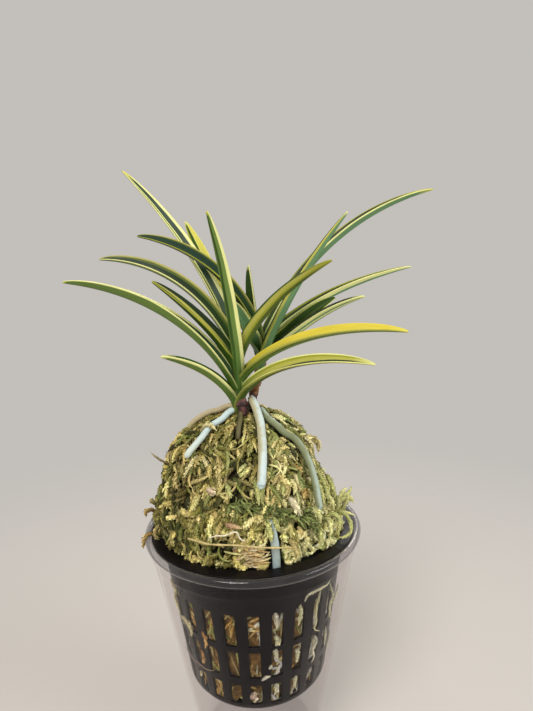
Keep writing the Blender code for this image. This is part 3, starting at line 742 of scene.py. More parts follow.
def strand_piece(name, bodies, material):
    """One piece of moss from strand meshes."""
    points, faces, tints = zip(*bodies)
    starts = np.cumsum([0] + [len(part) for part in points[:-1]])
    faces = np.concatenate([part + start for part, start in zip(faces, starts)])
    obj = new_piece(name, np.concatenate(points), faces, material)
    set_tint(obj, np.concatenate(tints))


# Shares of each of the tints: usual ones, then patches of the dome by heading, height and reach in mm
MOSS_USUAL = (0.36, 0.24, 0.14, 0.17, 0.085, 0.005)
MOSS_PATCHES = (
    (-30, 118, 16, (0.1, 0.2, 0.6, 0.08, 0.02, 0)),
    (-5, 108, 12, (0.1, 0.3, 0.5, 0.1, 0, 0)),
    (-62, 108, 11, (0.1, 0.2, 0.6, 0.1, 0, 0)),
    (-85, 109, 9, (0.1, 0.45, 0.4, 0.05, 0, 0)),
    (-60, 148, 10, (0.28, 0.3, 0.16, 0.24, 0.02, 0)),
    (-40, 140, 9, (0.28, 0.34, 0.14, 0.22, 0.02, 0)),
    (-60, 122, 7, (0.1, 0.1, 0.05, 0.35, 0.4, 0)),
    (-118, 117, 9, (0.2, 0.22, 0.14, 0.38, 0.06, 0)),
    (-110, 107, 8, (0.34, 0.16, 0.1, 0.32, 0.08, 0)),
    (-72, 138, 9, (0.3, 0.3, 0.16, 0.2, 0.04, 0)),
    (-60, 110, 12, (0.1, 0.3, 0.5, 0.1, 0, 0)),
    (-104, 140, 12, (0.46, 0.2, 0.06, 0.16, 0.12, 0)),
    (-150, 125, 14, (0.45, 0.2, 0.03, 0.1, 0.22, 0)),
    (-170, 108, 12, (0.4, 0.2, 0.05, 0.2, 0.15, 0)),
)
# By heading in degrees: how much yellower, and how light
WARMTH_ROUND = ((-180, -150, -85, -40, 60, 180), (1.0, 1.0, 0.65, -0.25, 0.2, 1.0))
LEVEL_ROUND = ((-180, -140, -95, -70, -40, 180), (0.94, 0.9, 1.1, 1.12, 1.0, 1.0))


def moss_tints(seeds):
    """A tint for each strand, by the patch of the dome that it lies on, with painted light on the low front
    right.
    """
    shares = np.tile(np.array(MOSS_USUAL), (len(seeds), 1))
    for heading, height, reach, mix in MOSS_PATCHES:
        spot = dome_points([heading], [height])[0]
        near = np.exp(-((seeds - spot) ** 2).sum(1) / reach ** 2)[:, None]
        shares = shares * (1 - near) + near * np.array(mix)
    shares /= shares.sum(1, keepdims=True)
    draw = RNG.uniform(size=len(seeds))[:, None]
    choice = (np.cumsum(shares, 1) < draw).sum(1).clip(0, len(MOSS_TINTS) - 1)
    tints = MOSS_TINTS[choice] * RNG.uniform(0.75, 1.2, (len(seeds), 1))
    heading = headings_of(seeds)
    # Painted light: the low front right of the mound made lighter, standing for light falling there.
    painted_sunlight = hump(heading, -48, 32) * hump(seeds[:, 2], 109, 9)
    warmth = np.interp(heading, *WARMTH_ROUND)[:, None] * np.array([0.02, -0.07, -0.32])
    level = np.interp(heading, *LEVEL_ROUND) * (1 + 0.7 * painted_sunlight)
    return tints * (1 + warmth) * level[:, None] * RNG.uniform(0.93, 1.07, (len(seeds), 3))


def strand_material():
    """Matt moss in each strand's own tint, finely specked."""
    m = Nodes("moss_strands")
    tint = m.add("VertexColor", layer_name="tint").outputs["Color"]
    speck = m.noise(900.0, 3.0, 0.6)
    tone = m.shaded(tint, m.between(speck, 0.3, 0.7, 0.72, 1.18))
    return m.set(Base_Color=tone, Roughness=0.8, Specular_IOR_Level=0.25)


def off_roots(places, radii):
    """True for strands that keep clear of every root that lies on the moss."""
    clear = np.ones(len(places), bool)
    for name, (radius, route) in ROOTS.items():
        first, last = BARE_SPANS.get(name, (0.0, 0.92))
        path = smooth_route(route, 40)[int(40 * first):int(40 * last)]
        for point in path:
            gap = np.linalg.norm(places - point, axis=-1).min(1)
            clear &= gap > radius + 0.9 * radii + 0.25
    return clear


def settle(places):
    """How far the moss sinks where the mound is slimmer than its round dome."""
    heading, height = headings_of(places), places[:, 2]
    right = hump(heading, -5, 50) * hump(height, 124, 13, 3)
    left = hump(np.abs(heading), 180, 45) * hump(height, 128, 13)
    right_foot = hump(heading, -8, 32) * hump(height, 104, 11, 3)
    left_foot = hump(heading, -155, 25) * hump(height, 103, 8, 3)
    crown = hump(np.hypot(places[:, 0], places[:, 1]), 12, 12)
    return 4.6 * right + 3.4 * left + 4.6 * right_foot + 2.4 * left_foot - 1.3 * crown


def sunk(ring):
    """A ring of the core, drawn in where the mound is slimmer than its round dome."""
    return ring - unit(ring * (1, 1, 0)) * settle(ring)[:, None].clip(0)


def moss_core():
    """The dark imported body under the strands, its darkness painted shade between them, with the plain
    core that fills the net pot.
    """
    columns, dome_rows = 144, 60
    angles = round_angles(columns)
    rows = [polar(angles, net_radius(height) - 1.5 - inset, height)
            for height, inset in ((37.5, 4.0), (40.5, 0.5), (60.0, 0.4), (80.0, 0.4), (98.0, 0.5))]
    rows[-1] = sunk(rows[-1])
    for part in np.sin(np.pi / 2 * np.arange(dome_rows + 1) / dome_rows):
        radius = dome_rim(angles) * np.sqrt(np.maximum(0.0, 1 - part ** (2.3 - np.cos(angles))))
        radius = np.maximum(radius - CORE_UNDER, 0.4)
        lump = (np.sin(19 * angles + 7 * part) * np.sin(33 * part + 3 * angles)
                + 0.6 * np.sin(41 * angles - 25 * part)) * 0.5
        radius = radius + lump * np.minimum(1.0, radius / 12)
        rows.append(sunk(polar(angles, radius, DOME_BOTTOM + part * (DOME_TOP - 2.4 - DOME_BOTTOM))))
    obj = new_piece("moss_core", np.vstack(rows), closed_faces(len(rows), columns), core_and_shade_material())
    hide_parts("moss")


def core_and_shade_material():
    """Tan packed moss inside the net pot; over the dome, dark moss as painted shade between the strands,
    near black at its foot.
    """
    m = Nodes("moss_core")
    coarse = m.noise(240.0, 4.0, 0.65)
    fine = m.noise(1100.0, 4.0, 0.7)
    height = m.parts(m.place())[2]
    # Painted shade: the dark dome stands for the shade between the strands.
    dome = m.ramp(coarse, ((0.3, "1C190A"), (0.5, "3A3618"), (0.75, "4E5024")))
    packed = m.ramp(coarse, ((0.3, "3A2C14"), (0.48, "7A5C2C"), (0.62, "A8834A"),
                             (0.75, "6E6C34")))
    # Painted shade: near black at the dome's foot by the rim.
    above = m.mix(m.between(height, 0.103, 0.112), MOSS_PAINTED_SHADE, dome)
    tone = m.mix(m.between(height, 0.086, 0.092), packed, above)
    m.bump(fine, 0.9, 0.0012)
    return m.set(Base_Color=tone, Roughness=0.9)


def laid(seeds, turns, lengths, depth, lift, radii, tints, curls=0.0):
    """Centre lines, normals, radii and tints of strands that are laid from their seeds."""
    curls = np.broadcast_to(curls, len(seeds))
    return *strand_paths(seeds, turns, curls, lengths, depth, lift), radii, tints


def bed_strands(count):
    """Short strands packed flat under the others, dark with painted shade."""
    seeds = dome_seeds(count)
    # The tints at 0.48 are painted shade under the other strands.
    return laid(seeds, turns=RNG.normal(0, 0.9, count), curls=RNG.normal(0, 0.08, count),
                lengths=RNG.uniform(6, 11, count), depth=RNG.uniform(-2.6, -1.5, count) - settle(seeds),
                lift=0.5, radii=RNG.uniform(0.85, 1.25, count), tints=0.48 * moss_tints(seeds))


def tuft_strands(tufts, strands):
    """Tufts of plump strands that fan out and droop together."""
    middles = dome_seeds(tufts)
    count = tufts * strands
    lean = RNG.normal(0, 0.55, tufts)
    tone = RNG.uniform(0.72, 1.2, tufts)
    seeds = onto_dome(np.repeat(middles, strands, 0) + RNG.normal(0, 2.2, (count, 3)))
    turns = np.repeat(lean, strands) + RNG.normal(0, 0.4, count)
    curls = RNG.normal(0, 0.06, count)
    lengths = RNG.uniform(4.5, 9.5, count)
    depth = RNG.uniform(-2.2, -0.7, count) - settle(seeds)
    lift = RNG.uniform(0.2, 1.9, count)
    radii = RNG.uniform(0.7, 1.35, count) * np.interp(seeds[:, 2], (126, 148), (1.0, 0.72))
    tints = moss_tints(np.repeat(middles, strands, 0)) * np.repeat(tone, strands)[:, None]
    # Lifted strands lighter and pressed ones darker: painted shade by depth.
    return laid(seeds, turns, lengths, depth, lift, radii, tints * (0.68 + 0.32 * lift)[:, None], curls)


def curly_strands(count):
    """Thin curling strands over the tufts."""
    seeds = dome_seeds(count)
    return laid(seeds, turns=RNG.normal(0, 0.8, count), curls=RNG.normal(0, 0.14, count).clip(-0.2, 0.2),
                lengths=RNG.uniform(5, 11, count), depth=RNG.uniform(-1.4, -0.4, count) - settle(seeds),
                lift=RNG.uniform(0.4, 1.8, count), radii=RNG.uniform(0.32, 0.6, count),
                tints=1.15 * moss_tints(seeds))


def rootside_strands(count):
    """Short plump strands that close up to the roots."""
    paths = np.concatenate([smooth_route(ROOTS[name][1], 40) for name in ROOTS])
    seeds = onto_dome(paths[RNG.integers(0, len(paths), count)] + RNG.normal(0, 3.4, (count, 3)))
    return laid(seeds, turns=RNG.normal(0, 0.6, count),
                depth=RNG.uniform(-1.8, -0.5, count) - settle(seeds),
                lengths=RNG.uniform(2.2, 4.6, count), lift=RNG.uniform(0.3, 1.2, count),
                radii=RNG.uniform(0.5, 0.95, count), tints=moss_tints(seeds))


def drawn_tones(count, ends, codes):
    """A tone for each strand: each code up to its end of a random share, and the last one past them."""
    share = RNG.uniform(size=count)
    return np.array([colour(code) for code in codes])[np.searchsorted(ends, share, side="right")]


# Thin strands; the frond's line gives headings in degrees and heights in mm
FIBRE_TONES = ("E2C898", "C89C64", "EFE0BC")
FROND_TONES = ("606E32", "82904C")
FROND = ((-104, 125.5), (-96, 127.0), (-87, 126.6), (-76, 123.8), (-61, 120.0), (-47, 115.6))


def fibre_looks(count, ends, codes, girths, brightness):
    """Radii and tints of thin strands."""
    tones = drawn_tones(count, ends, codes)
    radii = RNG.uniform(*girths, count)
    return {"radii": radii, "tints": tones * RNG.uniform(*brightness, (count, 1))}


def wood_fibres(count):
    """A chip of tan fibres that shows at the front of the mound's foot."""
    seeds = dome_points(RNG.uniform(-101, -86, count), RNG.uniform(102.8, 110.8, count))
    return laid(seeds, turns=RNG.normal(1.45, 0.3, count), depth=RNG.uniform(-1.0, 0.7, count),
                curls=RNG.normal(0, 0.05, count), lengths=RNG.uniform(3, 7, count),
                lift=RNG.uniform(0.0, 0.5, count), **fibre_looks(count, (0.45, 0.8), FIBRE_TONES,
                                                                 (0.22, 0.42), (0.75, 1.15)))


def green_frond(count):
    """A dark green frond that lies across the front of the mound."""
    route = np.array(FROND, float)
    spot = RNG.uniform(0, 1, count) ** 0.8
    shares = np.linspace(0, 1, len(route))
    width = 0.5 + 1.6 * spot
    headings = np.interp(spot, shares, route[:, 0]) + RNG.normal(0, 1.0, count)
    heights = np.interp(spot, shares, route[:, 1]) + RNG.normal(0, 1.0, count) * width
    return laid(dome_points(headings, heights), turns=RNG.normal(1.0, 0.5, count),
                curls=RNG.normal(0, 0.06, count), lengths=RNG.uniform(2.5, 5.0, count),
                depth=RNG.uniform(-0.5, 0.5, count), lift=RNG.uniform(0.3, 0.9, count),
                **fibre_looks(count, (0.6,), FROND_TONES, (0.26, 0.5), (0.7, 1.3)))


# Pieces of the dome, each from one angle to another in degrees past the left front
SECTORS = (("front_left", 0, 45), ("front_right", 45, 90), ("right", 90, 180), ("left", 270, 360),
           ("back", 180, 270))


def dome_strands():
    """The strands over the dome, in five pieces by where they lie."""
    batches = (bed_strands(660), tuft_strands(300, 7), curly_strands(300), rootside_strands(540),
               wood_fibres(150), green_frond(130))
    strands = [np.concatenate(parts) for parts in zip(*batches)]
    places, _, radii, _ = strands
    clear = off_roots(places, radii)
    turn = (headings_of(places[:, STEPS // 2]) + 135) % 360
    material = strand_material()
    for name, start, end in SECTORS:
        chosen = clear & (turn >= start) & (turn < end)
        body = strand_mesh(*(part[chosen] for part in strands))
        strand_piece("moss_strands_" + name, [body], material)


FINGER_TONES = {
    "pale": "D2D28E",
    "lime": "C3C77C",
    "moss": "B4B86E",
    "olive": "8E9450",
    "straw": "DCCF9C",
    "cream": "EBE0BA",
    "tan": "B5A264",
    "rust": "B08A44",
    "twig": "8E7A52",
    "pink": "E8CEB4",
    "bark": "B98E6E",
}
# Single strands that stand out: girth, tone, and places as (heading, radius, height)
FINGERS = (
    (1.1, "pale", ((-24, 35, 109), (-24, 37.6, 113.5), (-24, 38.8, 118.5), (-23, 40.2, 121.6),
     (-22, 41.6, 122.6))),
    (1, "pale", ((-20, 36, 109), (-20, 39.3, 113), (-20, 41.3, 117), (-20, 41.8, 119.6))),
    (0.75, "pale", ((-22, 34.4, 110.1), (-22, 38, 112.2), (-22, 41.5, 112.2), (-22, 44.9, 111.4))),
    (0.9, "lime", ((-24, 38.4, 112.3), (-26, 41.8, 112.6), (-27, 44, 110), (-28, 44.2, 106.6),
     (-29, 42, 104.3), (-30, 39.6, 104))),
    (1.2, "lime", ((-30, 33, 111), (-30, 37.2, 113.2), (-30, 40, 112), (-31, 40.3, 108.2),
     (-32, 38.8, 105.2))),
    (1.35, "moss", ((-28, 30.5, 129), (-29, 33.6, 125), (-30, 35.6, 120.5), (-30, 36.6, 116.4))),
    (1.3, "lime", ((-35, 31.5, 128), (-36, 34, 123.4), (-37, 36, 119.2))),
    (1.25, "moss", ((-20, 33, 127), (-21, 35.4, 122.4), (-22, 36.6, 117.6))),
    (1.1, "pale", ((-12, 35, 111), (-12, 38.6, 114), (-12, 41.4, 115.4), (-12, 43.4, 113))),
    (1, "lime", ((-3, 35.4, 109), (-2, 38.8, 112.6), (-1, 41.6, 114.2), (0, 43, 117))),
    (1.1, "lime", ((6, 35.6, 108), (7, 39.4, 110), (8, 42.6, 109), (9, 44, 106))),
    (1.2, "pale", ((-38, 34.4, 112), (-38, 37.8, 113.4), (-39, 39.6, 111), (-40, 39.6, 107))),
    (1.1, "lime", ((-46, 34.4, 110), (-46, 37.6, 110.8), (-47, 39, 108.4), (-47, 38.8, 105))),
    (1, "pale", ((-30, 31, 120), (-31, 35, 121), (-32, 37.8, 119.4), (-33, 38.8, 116))),
    (1, "rust", ((-166, 42.6, 103.2), (-166, 45.2, 102.6), (-165, 46.6, 100), (-165, 46.9, 97.6))),
    (0.5, "twig", ((-168, 34.4, 132), (-169, 38, 134), (-170, 41.6, 137.2))),
    (1, "rust", ((-174, 40, 109.6), (-172, 43.4, 111.6), (-171, 45.2, 111), (-171, 45, 108.8))),
    (1, "tan", ((-178, 39.6, 111), (-177, 42.4, 113.4), (-177, 43.6, 114.6))),
    (1.1, "tan", ((-160, 40, 108.6), (-160, 41.8, 106.4), (-160, 41.6, 103.6), (-160, 40.4, 101.6))),
    (1.15, "straw", ((-150, 22, 146), (-142, 21.6, 149.4), (-136, 20.4, 149.8), (-130, 19.2, 147.6))),
    (1.4, "pale", ((-49, 34.6, 119.4), (-47, 37, 118.2), (-46, 38, 116.4), (-45, 37.4, 114))),
    (1.2, "lime", ((-79, 33.2, 119.4), (-79, 36.2, 117), (-78.5, 37.6, 114.6), (-78, 37.4, 112.4))),
    (1, "moss", ((-75, 33.4, 120), (-74.5, 36.4, 118), (-74, 37.6, 115.8))),
    (1.1, "moss", ((-86, 29.4, 133), (-84.5, 33, 130.6), (-84, 34.4, 128), (-84, 34.8, 125.2))),
    (0.9, "olive", ((-80, 29.8, 132.6), (-81, 33.2, 130.4), (-82, 34.4, 127.6), (-81, 34.8, 124.8))),
    (1.2, "tan", ((-67, 34.4, 111), (-66, 38.2, 110), (-65, 39.6, 107.4), (-65, 38.8, 104.4))),
    (1.2, "pink", ((-116, 34.4, 130.6), (-113, 35, 130.2), (-110, 34.8, 129.8))),
    (1, "bark", ((-103, 37.9, 119.6), (-99, 38.4, 119.2), (-94, 38, 118.2))),
    (1.45, "cream", ((-64, 33.6, 126), (-61, 35.8, 122.4), (-58, 35.8, 119))),
    (1.2, "straw", ((-136, 27.5, 139.4), (-136, 30.9, 136.6), (-138, 33.6, 131.9))),
    (0.9, "tan", ((-137, 33, 127.5), (-129, 33.4, 131.2), (-122, 32.6, 133.1), (-117, 30.8, 134.8))),
    (1.4, "tan", ((-112, 25.1, 139.1), (-112, 29, 137.6), (-111, 31, 133.1), (-108, 32.7, 130))),
    (0.9, "olive", ((-122, 18.6, 145.2), (-112, 22.4, 143.3), (-107, 26.1, 140), (-106, 28.4, 136.9),
     (-106, 30.4, 134.3))),
    (0.9, "pale", ((-92, 24.8, 137.4), (-95, 27.8, 136.8), (-98, 29.3, 135.5))),
    (1.1, "lime", ((-87, 25.9, 136.2), (-92, 28.5, 135.8), (-96, 30, 134.3))),
    (0.8, "olive", ((-88, 15.7, 145), (-89, 22.2, 142.2), (-90, 24.6, 140))),
    (0.9, "straw", ((-133, 26.4, 139.5), (-125, 28.7, 138.4), (-121, 29.6, 136.8))),
    (1.2, "tan", ((-131, 18.8, 145.4), (-125, 21.8, 145), (-121, 23.6, 143.2))),
    (1, "lime", ((-106, 30.3, 131.5), (-103, 32.6, 130.2), (-101, 33.4, 127.5))),
    (0.9, "pale", ((-67, 17.2, 143.3), (-70, 22, 141.4), (-68, 25.4, 138.5))),
    (0.8, "pale", ((-62, 19.6, 141.3), (-62, 22.9, 140.3), (-60, 24.4, 138.7))),
    (0.8, "straw", ((-64, 23.3, 137.7), (-58, 24.8, 138.4), (-51, 24.6, 138))),
    (0.9, "straw", ((-67, 25.1, 136.1), (-62, 26.9, 135.9), (-56, 27.1, 134.3))),
    (1.2, "rust", ((-53, 25.6, 133.3), (-49, 26.6, 134), (-44, 27.2, 131.8), (-47, 28.7, 129.6))),
    (0.9, "straw", ((-49, 25.7, 131.5), (-51, 28.5, 130.3), (-51, 29.7, 128))),
    (1, "tan", ((-64, 26.3, 132.7), (-69, 29.2, 132.3), (-73, 30.2, 130.4))),
    (0.5, "olive", ((-74, 28.1, 131.7), (-72, 28.8, 134.2), (-68, 27.8, 134.7), (-65, 27.7, 133.5))),
    (1, "tan", ((-60, 27.1, 130.8), (-62, 30.6, 128.5), (-64, 31.6, 125.8))),
    (0.9, "moss", ((-63, 27.4, 130.4), (-66, 31.1, 128.2), (-68, 32.2, 126))),
    (1.3, "rust", ((-45, 29.3, 125.3), (-48, 31.4, 124.8), (-51, 32.6, 123.2))),
    (1.3, "tan", ((-10, 23.6, 141), (-6, 27, 139.4), (-4, 28.6, 136.4), (-4, 28.8, 133))),
    (1.2, "straw", ((-18, 23.4, 141.6), (-16, 25.8, 139.8), (-14, 27.4, 136.4))),
)
HAIRS = (
    (0.28, "EDE3C8", ((-113, 38.4, 113.6), (-108, 39.2, 115.4), (-103, 39.4, 116), (-97, 39.4, 117.6),
     (-95, 39.2, 115), (-93, 38.6, 113.8))),
    (0.35, "C9B57C", ((-127, 38.8, 111.4), (-112, 39.6, 112), (-97, 39.6, 112.6), (-82, 39.4, 111.2),
     (-66, 39, 109))),
)


def around(route):
    """Points in mm from headings in degrees, radii and heights."""
    heading, radius, height = np.array(route, float).T
    return polar(np.radians(heading), radius, height)


def single_strand(route, steps, girth, code, lean, knob):
    """The mesh of one strand along its own route."""
    path = smooth_route(route, steps)[None]
    return strand_mesh(path, unit(path * (1, 1, lean)), np.array([girth]), colour(code)[None], knob)


def fingers():
    """Fleshy single strands that stand out from the rest of the moss."""
    bodies = [single_strand(around(route), 18, girth, FINGER_TONES[tone], 0.3, 0.13)
              for girth, tone, route in FINGERS]
    strand_piece("moss_fingers", bodies, strand_material())


def hairs():
    """Thin threads that lie across the front of the mound."""
    points, faces, tints = [], [], []
    for girth, code, route in HAIRS:
        body, quads, _ = tube(smooth_route(around(route), 40), girth * (1 + 0.2 * np.sin(np.arange(41))), 6)
        faces += [tuple(i + len(points) for i in face) for face in quads]
        points += list(body)
        tints += [colour(code)] * len(body)
    obj = new_piece("moss_hairs", points, faces, strand_material())
    set_tint(obj, np.array(tints))


def slot_strands():
    """Strands pressed against the inside of the net pot's wall, which show in its slots."""
    count, steps = 800, 8
    angle = RNG.uniform(0, 2 * np.pi, count)
    height = RNG.uniform(40.0, 92.0, count)
    slope = RNG.normal(0.0, 0.7, count)
    lengths = RNG.uniform(5.0, 12.0, count)[:, None] * np.linspace(0, 1, steps + 1)[None]
    z = np.clip(height[:, None] - lengths * np.cos(slope)[:, None], 38.8, 99.0)
    a = angle[:, None] + lengths * np.sin(slope)[:, None] / 34.0
    places = polar(a, net_radius(z) - 1.75 + RNG.uniform(-0.25, 0.25, count)[:, None], z)
    tints = drawn_tones(count, (0.4, 0.75), ("B58A48", "C4AC72", "7E8242"))
    pale = np.clip((np.degrees(angle) - 265) / 60, 0.0, 1.0) * (angle < math.radians(345))
    tints = np.where((RNG.uniform(size=count) < 0.8 * pale)[:, None], colour("ECEAC8"), tints)
    tints = np.minimum(0.95, tints * RNG.uniform(0.7, 2.1, (count, 1)))
    body = strand_mesh(places, polar(a, 1.0, 0.0), RNG.uniform(0.3, 0.8, count), tints)
    strand_piece("moss_behind_slots", [body], strand_material())


# Strands between the net pot and the cup: girth, colour, gap to the net pot, then (heading, height)
WISPS = (
    (0.55, "E6E2C0", 1.3, ((-59, 85.4), (-57, 87.6), (-51, 87.8), (-47, 87.6), (-41, 87.2), (-37, 88.2))),
    (0.6, "DEDDB0", 1.3, ((-47, 87.3), (-48, 83.7), (-49, 81.1), (-49, 76.1), (-48, 72.4), (-49, 69.5),
     (-43, 66.5))),
    (0.65, "E0E0B6", 1.4, ((-38, 86.8), (-34, 82), (-31, 78), (-34, 75.6), (-33, 72.2), (-32, 69.5),
     (-28, 66.5))),
    (0.5, "E2DFBE", 1.6, ((-22, 80.2), (-26, 76.8), (-30, 74.6))),
    (0.5, "DCD8BC", 1.2, ((-35, 65.5), (-34, 61.1), (-33, 55.4))),
    (0.45, "D6D0B4", 1.2, ((-26, 60.2), (-26, 55.4), (-28, 50.2))),
    (0.6, "EAE6CE", 1.2, ((-48, 66.2), (-45, 62.6), (-48, 59.2), (-46, 55.4), (-48, 53))),
    (0.6, "EDE8D8", 1.1, ((-86, 52.8), (-83, 54), (-80, 54.6))),
    (0.5, "F0ECDC", 1.1, ((-81, 58), (-79, 59.6))),
    (0.85, "C9BC8A", 1.4, ((-149, 88.2), (-144, 85.2), (-147, 81.3), (-147, 77.6), (-145, 73.6))),
    (1, "D2C69A", 1.5, ((-144, 73.2), (-138, 73), (-134, 70.4), (-135, 66.4))),
    (0.22, "9A7468", 1.5, ((-150, 56), (-142, 54.6), (-133, 54.2), (-126, 53.7), (-121, 54.4), (-117, 56))),
    (0.55, "D8CDA8", 1.1, ((-133, 50.6), (-134, 47))),
    (1.2, "E6C8BA", 0.5, ((-94, 43.4), (-92, 44.4), (-90, 42.2))),
    (0.9, "E2DCC8", 0.2, ((-77, 83.4), (-76, 80), (-76, 76))),
    (1, "DEDCB4", 0.3, ((-77, 73), (-75, 70), (-76, 68))),
    (1, "E8E4C4", 0.2, ((-77, 66.4), (-76, 64), (-75, 61.6))),
    (0.9, "D6D8AC", 0.2, ((-61, 84), (-60, 79), (-61, 74))),
    (0.8, "E4E2BE", 0.2, ((-62, 63.4), (-60, 60), (-61, 56.4))),
    (0.8, "E0DEB8", 0.2, ((-60, 50), (-61, 47), (-60, 43.6))),
    (0.8, "E6E4C8", 0.2, ((-76, 49.6), (-75, 46.6), (-77, 43.6))),
    (0.8, "E2E0BE", 0.3, ((-46, 64.4), (-46, 61), (-45, 57.6))),
    (0.8, "C98E50", 0, ((-126, 71), (-124, 67), (-126, 62.6))),
    (0.8, "B98048", 0, ((-130, 61), (-129, 57), (-131, 53.6))),
)


def wisps():
    """Pale strands that have slipped down between the net pot and the cup."""
    bodies = []
    for girth, code, gap, route in WISPS:
        heading, height = np.array(route, float).T
        line = polar(np.radians(heading), net_radius(height) + gap, height)
        bodies.append(single_strand(line, 14, girth, code, 0, 0.16))
    strand_piece("moss_wisps_in_cup", bodies, strand_material())


# The net pot

def net_radius(height):
    """Outer radius of the net pot's wall at a height."""
    return 38.9 - 0.145 * (100 - height)


NET_WALL = 1.2
NET_FLOOR = 36.0
FLANGE_BOTTOM, FLANGE_RADIUS = 101.1, 43.3
NET_COLUMNS = 24
SLOT_ROWS = ((39.7, 49.0), (52.6, 65.0), (67.6, 82.2))
SLOT_HALF = 2.2
# Half width of a slot's rounded end at distances from it
SLOT_END = ((0, 1.9), (0.2, 2.12), (0.5, SLOT_HALF))


def net_profile():
    """Rows of outer and inner (radius, height), half width of a slot, and what opens above the row."""
    low, high = NET_FLOOR, NET_FLOOR + NET_WALL
    rows = [((radius, low), (radius, high), half, kind) for radius, half, kind in
            ((0.01, 1.5, ""), (10, 1, "drain"), (11, 1.5, "drain"), (21, 1.5, "drain"), (22, 1, ""))]
    rows += [(outer, inner, SLOT_HALF, "") for outer, inner in
             (((26.6, 36.0), (26.2, 37.2)), ((28.6, 36.6), (27.4, 37.8)), ((29.9, 38.4), (28.7, 38.8)))]
    walls = []
    for bottom, top in SLOT_ROWS:
        walls += [(bottom + inset, half, "slot") for inset, half in SLOT_END]
        walls += [(top - inset, half, "slot" if inset else "") for inset, half in SLOT_END[::-1]]
    walls += [(z, SLOT_HALF, "") for z in (84.0, 96.0, 100.6)]
    rows += [((net_radius(z), z), (net_radius(z) - NET_WALL, z), half, kind) for z, half, kind in walls]
    lip = net_radius(FLANGE_TOP) - NET_WALL
    flange = ((net_radius(FLANGE_BOTTOM) + 0.4, lip, 101.6), (40.5, lip + 0.5, FLANGE_TOP),
              (FLANGE_RADIUS, FLANGE_RADIUS, FLANGE_TOP))
    return rows + [((outer, FLANGE_BOTTOM), (inner, height), SLOT_HALF, "")
                   for outer, inner, height in flange]


def net_pot_piece():
    """The net pot: a grid of cells, 7 to each of 24 columns, the first 3 of which can be open."""
    rows = net_profile()
    columns, cells, open_cells = NET_COLUMNS, 7, 3
    middles = round_angles(columns) - math.pi / 2
    points, faces = [], []
    for outer, inner, half, _ in rows:
        for radius, height in (outer, inner):
            slot = math.asin(min(0.9, half / radius)) if radius > 3 else math.pi / columns * 0.4
            slot = min(slot, math.pi / columns * 0.8)
            rest = math.tau / columns - 2 * slot
            marks = (-slot, -slot / 3, slot / 3, slot, slot + rest / 4, slot + rest / 2,
                     slot + 3 * rest / 4)
            points.append(polar(np.add.outer(middles, marks).ravel(), radius, height))
    ring = columns * cells

    def vertex(row, inside, j):
        return (2 * row + inside) * ring + j % ring

    def is_open(row, j):
        if not 0 <= row < len(rows) - 1:
            return False
        column, cell = divmod(j % ring, cells)
        kind = rows[row][3]
        return cell < open_cells and (kind == "slot" or (kind == "drain" and column % 3 == 0))

    for row in range(len(rows) - 1):
        for j in range(ring):
            if is_open(row, j):
                continue
            o, i = ([vertex(row, inside, j), vertex(row, inside, j + 1), vertex(row + 1, inside, j + 1),
                     vertex(row + 1, inside, j)] for inside in (0, 1))
            faces += [o, i[::-1]]
            for to_row, to_j, a, b in ((row, j - 1, 0, 3), (row, j + 1, 2, 1), (row - 1, j, 1, 0),
                                       (row + 1, j, 3, 2)):
                if is_open(to_row, to_j):
                    faces.append((o[a], o[b], i[b], i[a]))
    end = len(rows) - 1
    faces += [(vertex(end, 0, j), vertex(end, 0, j + 1), vertex(end, 1, j + 1), vertex(end, 1, j))
              for j in range(ring)]
    faces += [[vertex(0, 0, j) for j in range(ring - 1, -1, -1)], [vertex(0, 1, j) for j in range(ring)]]
    obj = new_piece("net_pot_moulded", np.vstack(points), faces, net_material())
    bevel = obj.modifiers.new("Soft edges", "BEVEL")
    bevel.width = 0.15 * MM
    bevel.segments = 2
    bevel.limit_method = "ANGLE"
    bevel.angle_limit = math.radians(38)
    bevel.harden_normals = True
    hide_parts("net_pot")


def net_material():
    """Black plastic, lightly dusted."""
    m = Nodes("net_pot_plastic")
    dust = m.noise(300.0, 4.0, 0.6)
    grain = m.noise(2600.0, 2.0, 0.5)
    tone = m.mix(m.between(dust, 0.5, 0.75, 0.0, 0.3), "0B070B", "201920")
    m.bump(grain, 0.04, 0.0001)
    rough = m.between(dust, 0.3, 0.7, 0.3, 0.5)
    return m.set(Base_Color=tone, Roughness=rough, Specular_IOR_Level=0.2)


# The clear cup

# Closed (radius, height) profile from the middle of the base, up outside and down inside
CUP_PROFILE = (
    (0, 0), (22.8, 0), (24, 0.15), (24.9, 0.6), (25.4, 1.3), (25.7, 2.4), (30.2, 25), (35.3, 52),
    (40.3, 78), (43, 92.6), (43.35, 93.4), (43.7, 94), (43.8, 94.6), (44.1, 98.4), (44.4, 99),
    (45.1, 99.2), (45.7, 99.6), (46, 100.3), (46, 101.3), (45.7, 101.95), (45.1, 102.3), (44.4, 102.4),
    (43.85, 102.2), (43.6, 101.7), (43.6, 101), (43.45, 100.8), (42.5, 100.8), (42.2, 100.6),
    (42.1, 99.8), (41.9, 94), (41.5, 92), (39.2, 78), (34.3, 52), (29.2, 25), (24.9, 4.2), (24.4, 2.5),
    (23.2, 1.5), (21.8, 1.2), (0, 1.2),
)
CUP_RIM_FROM = 98.3


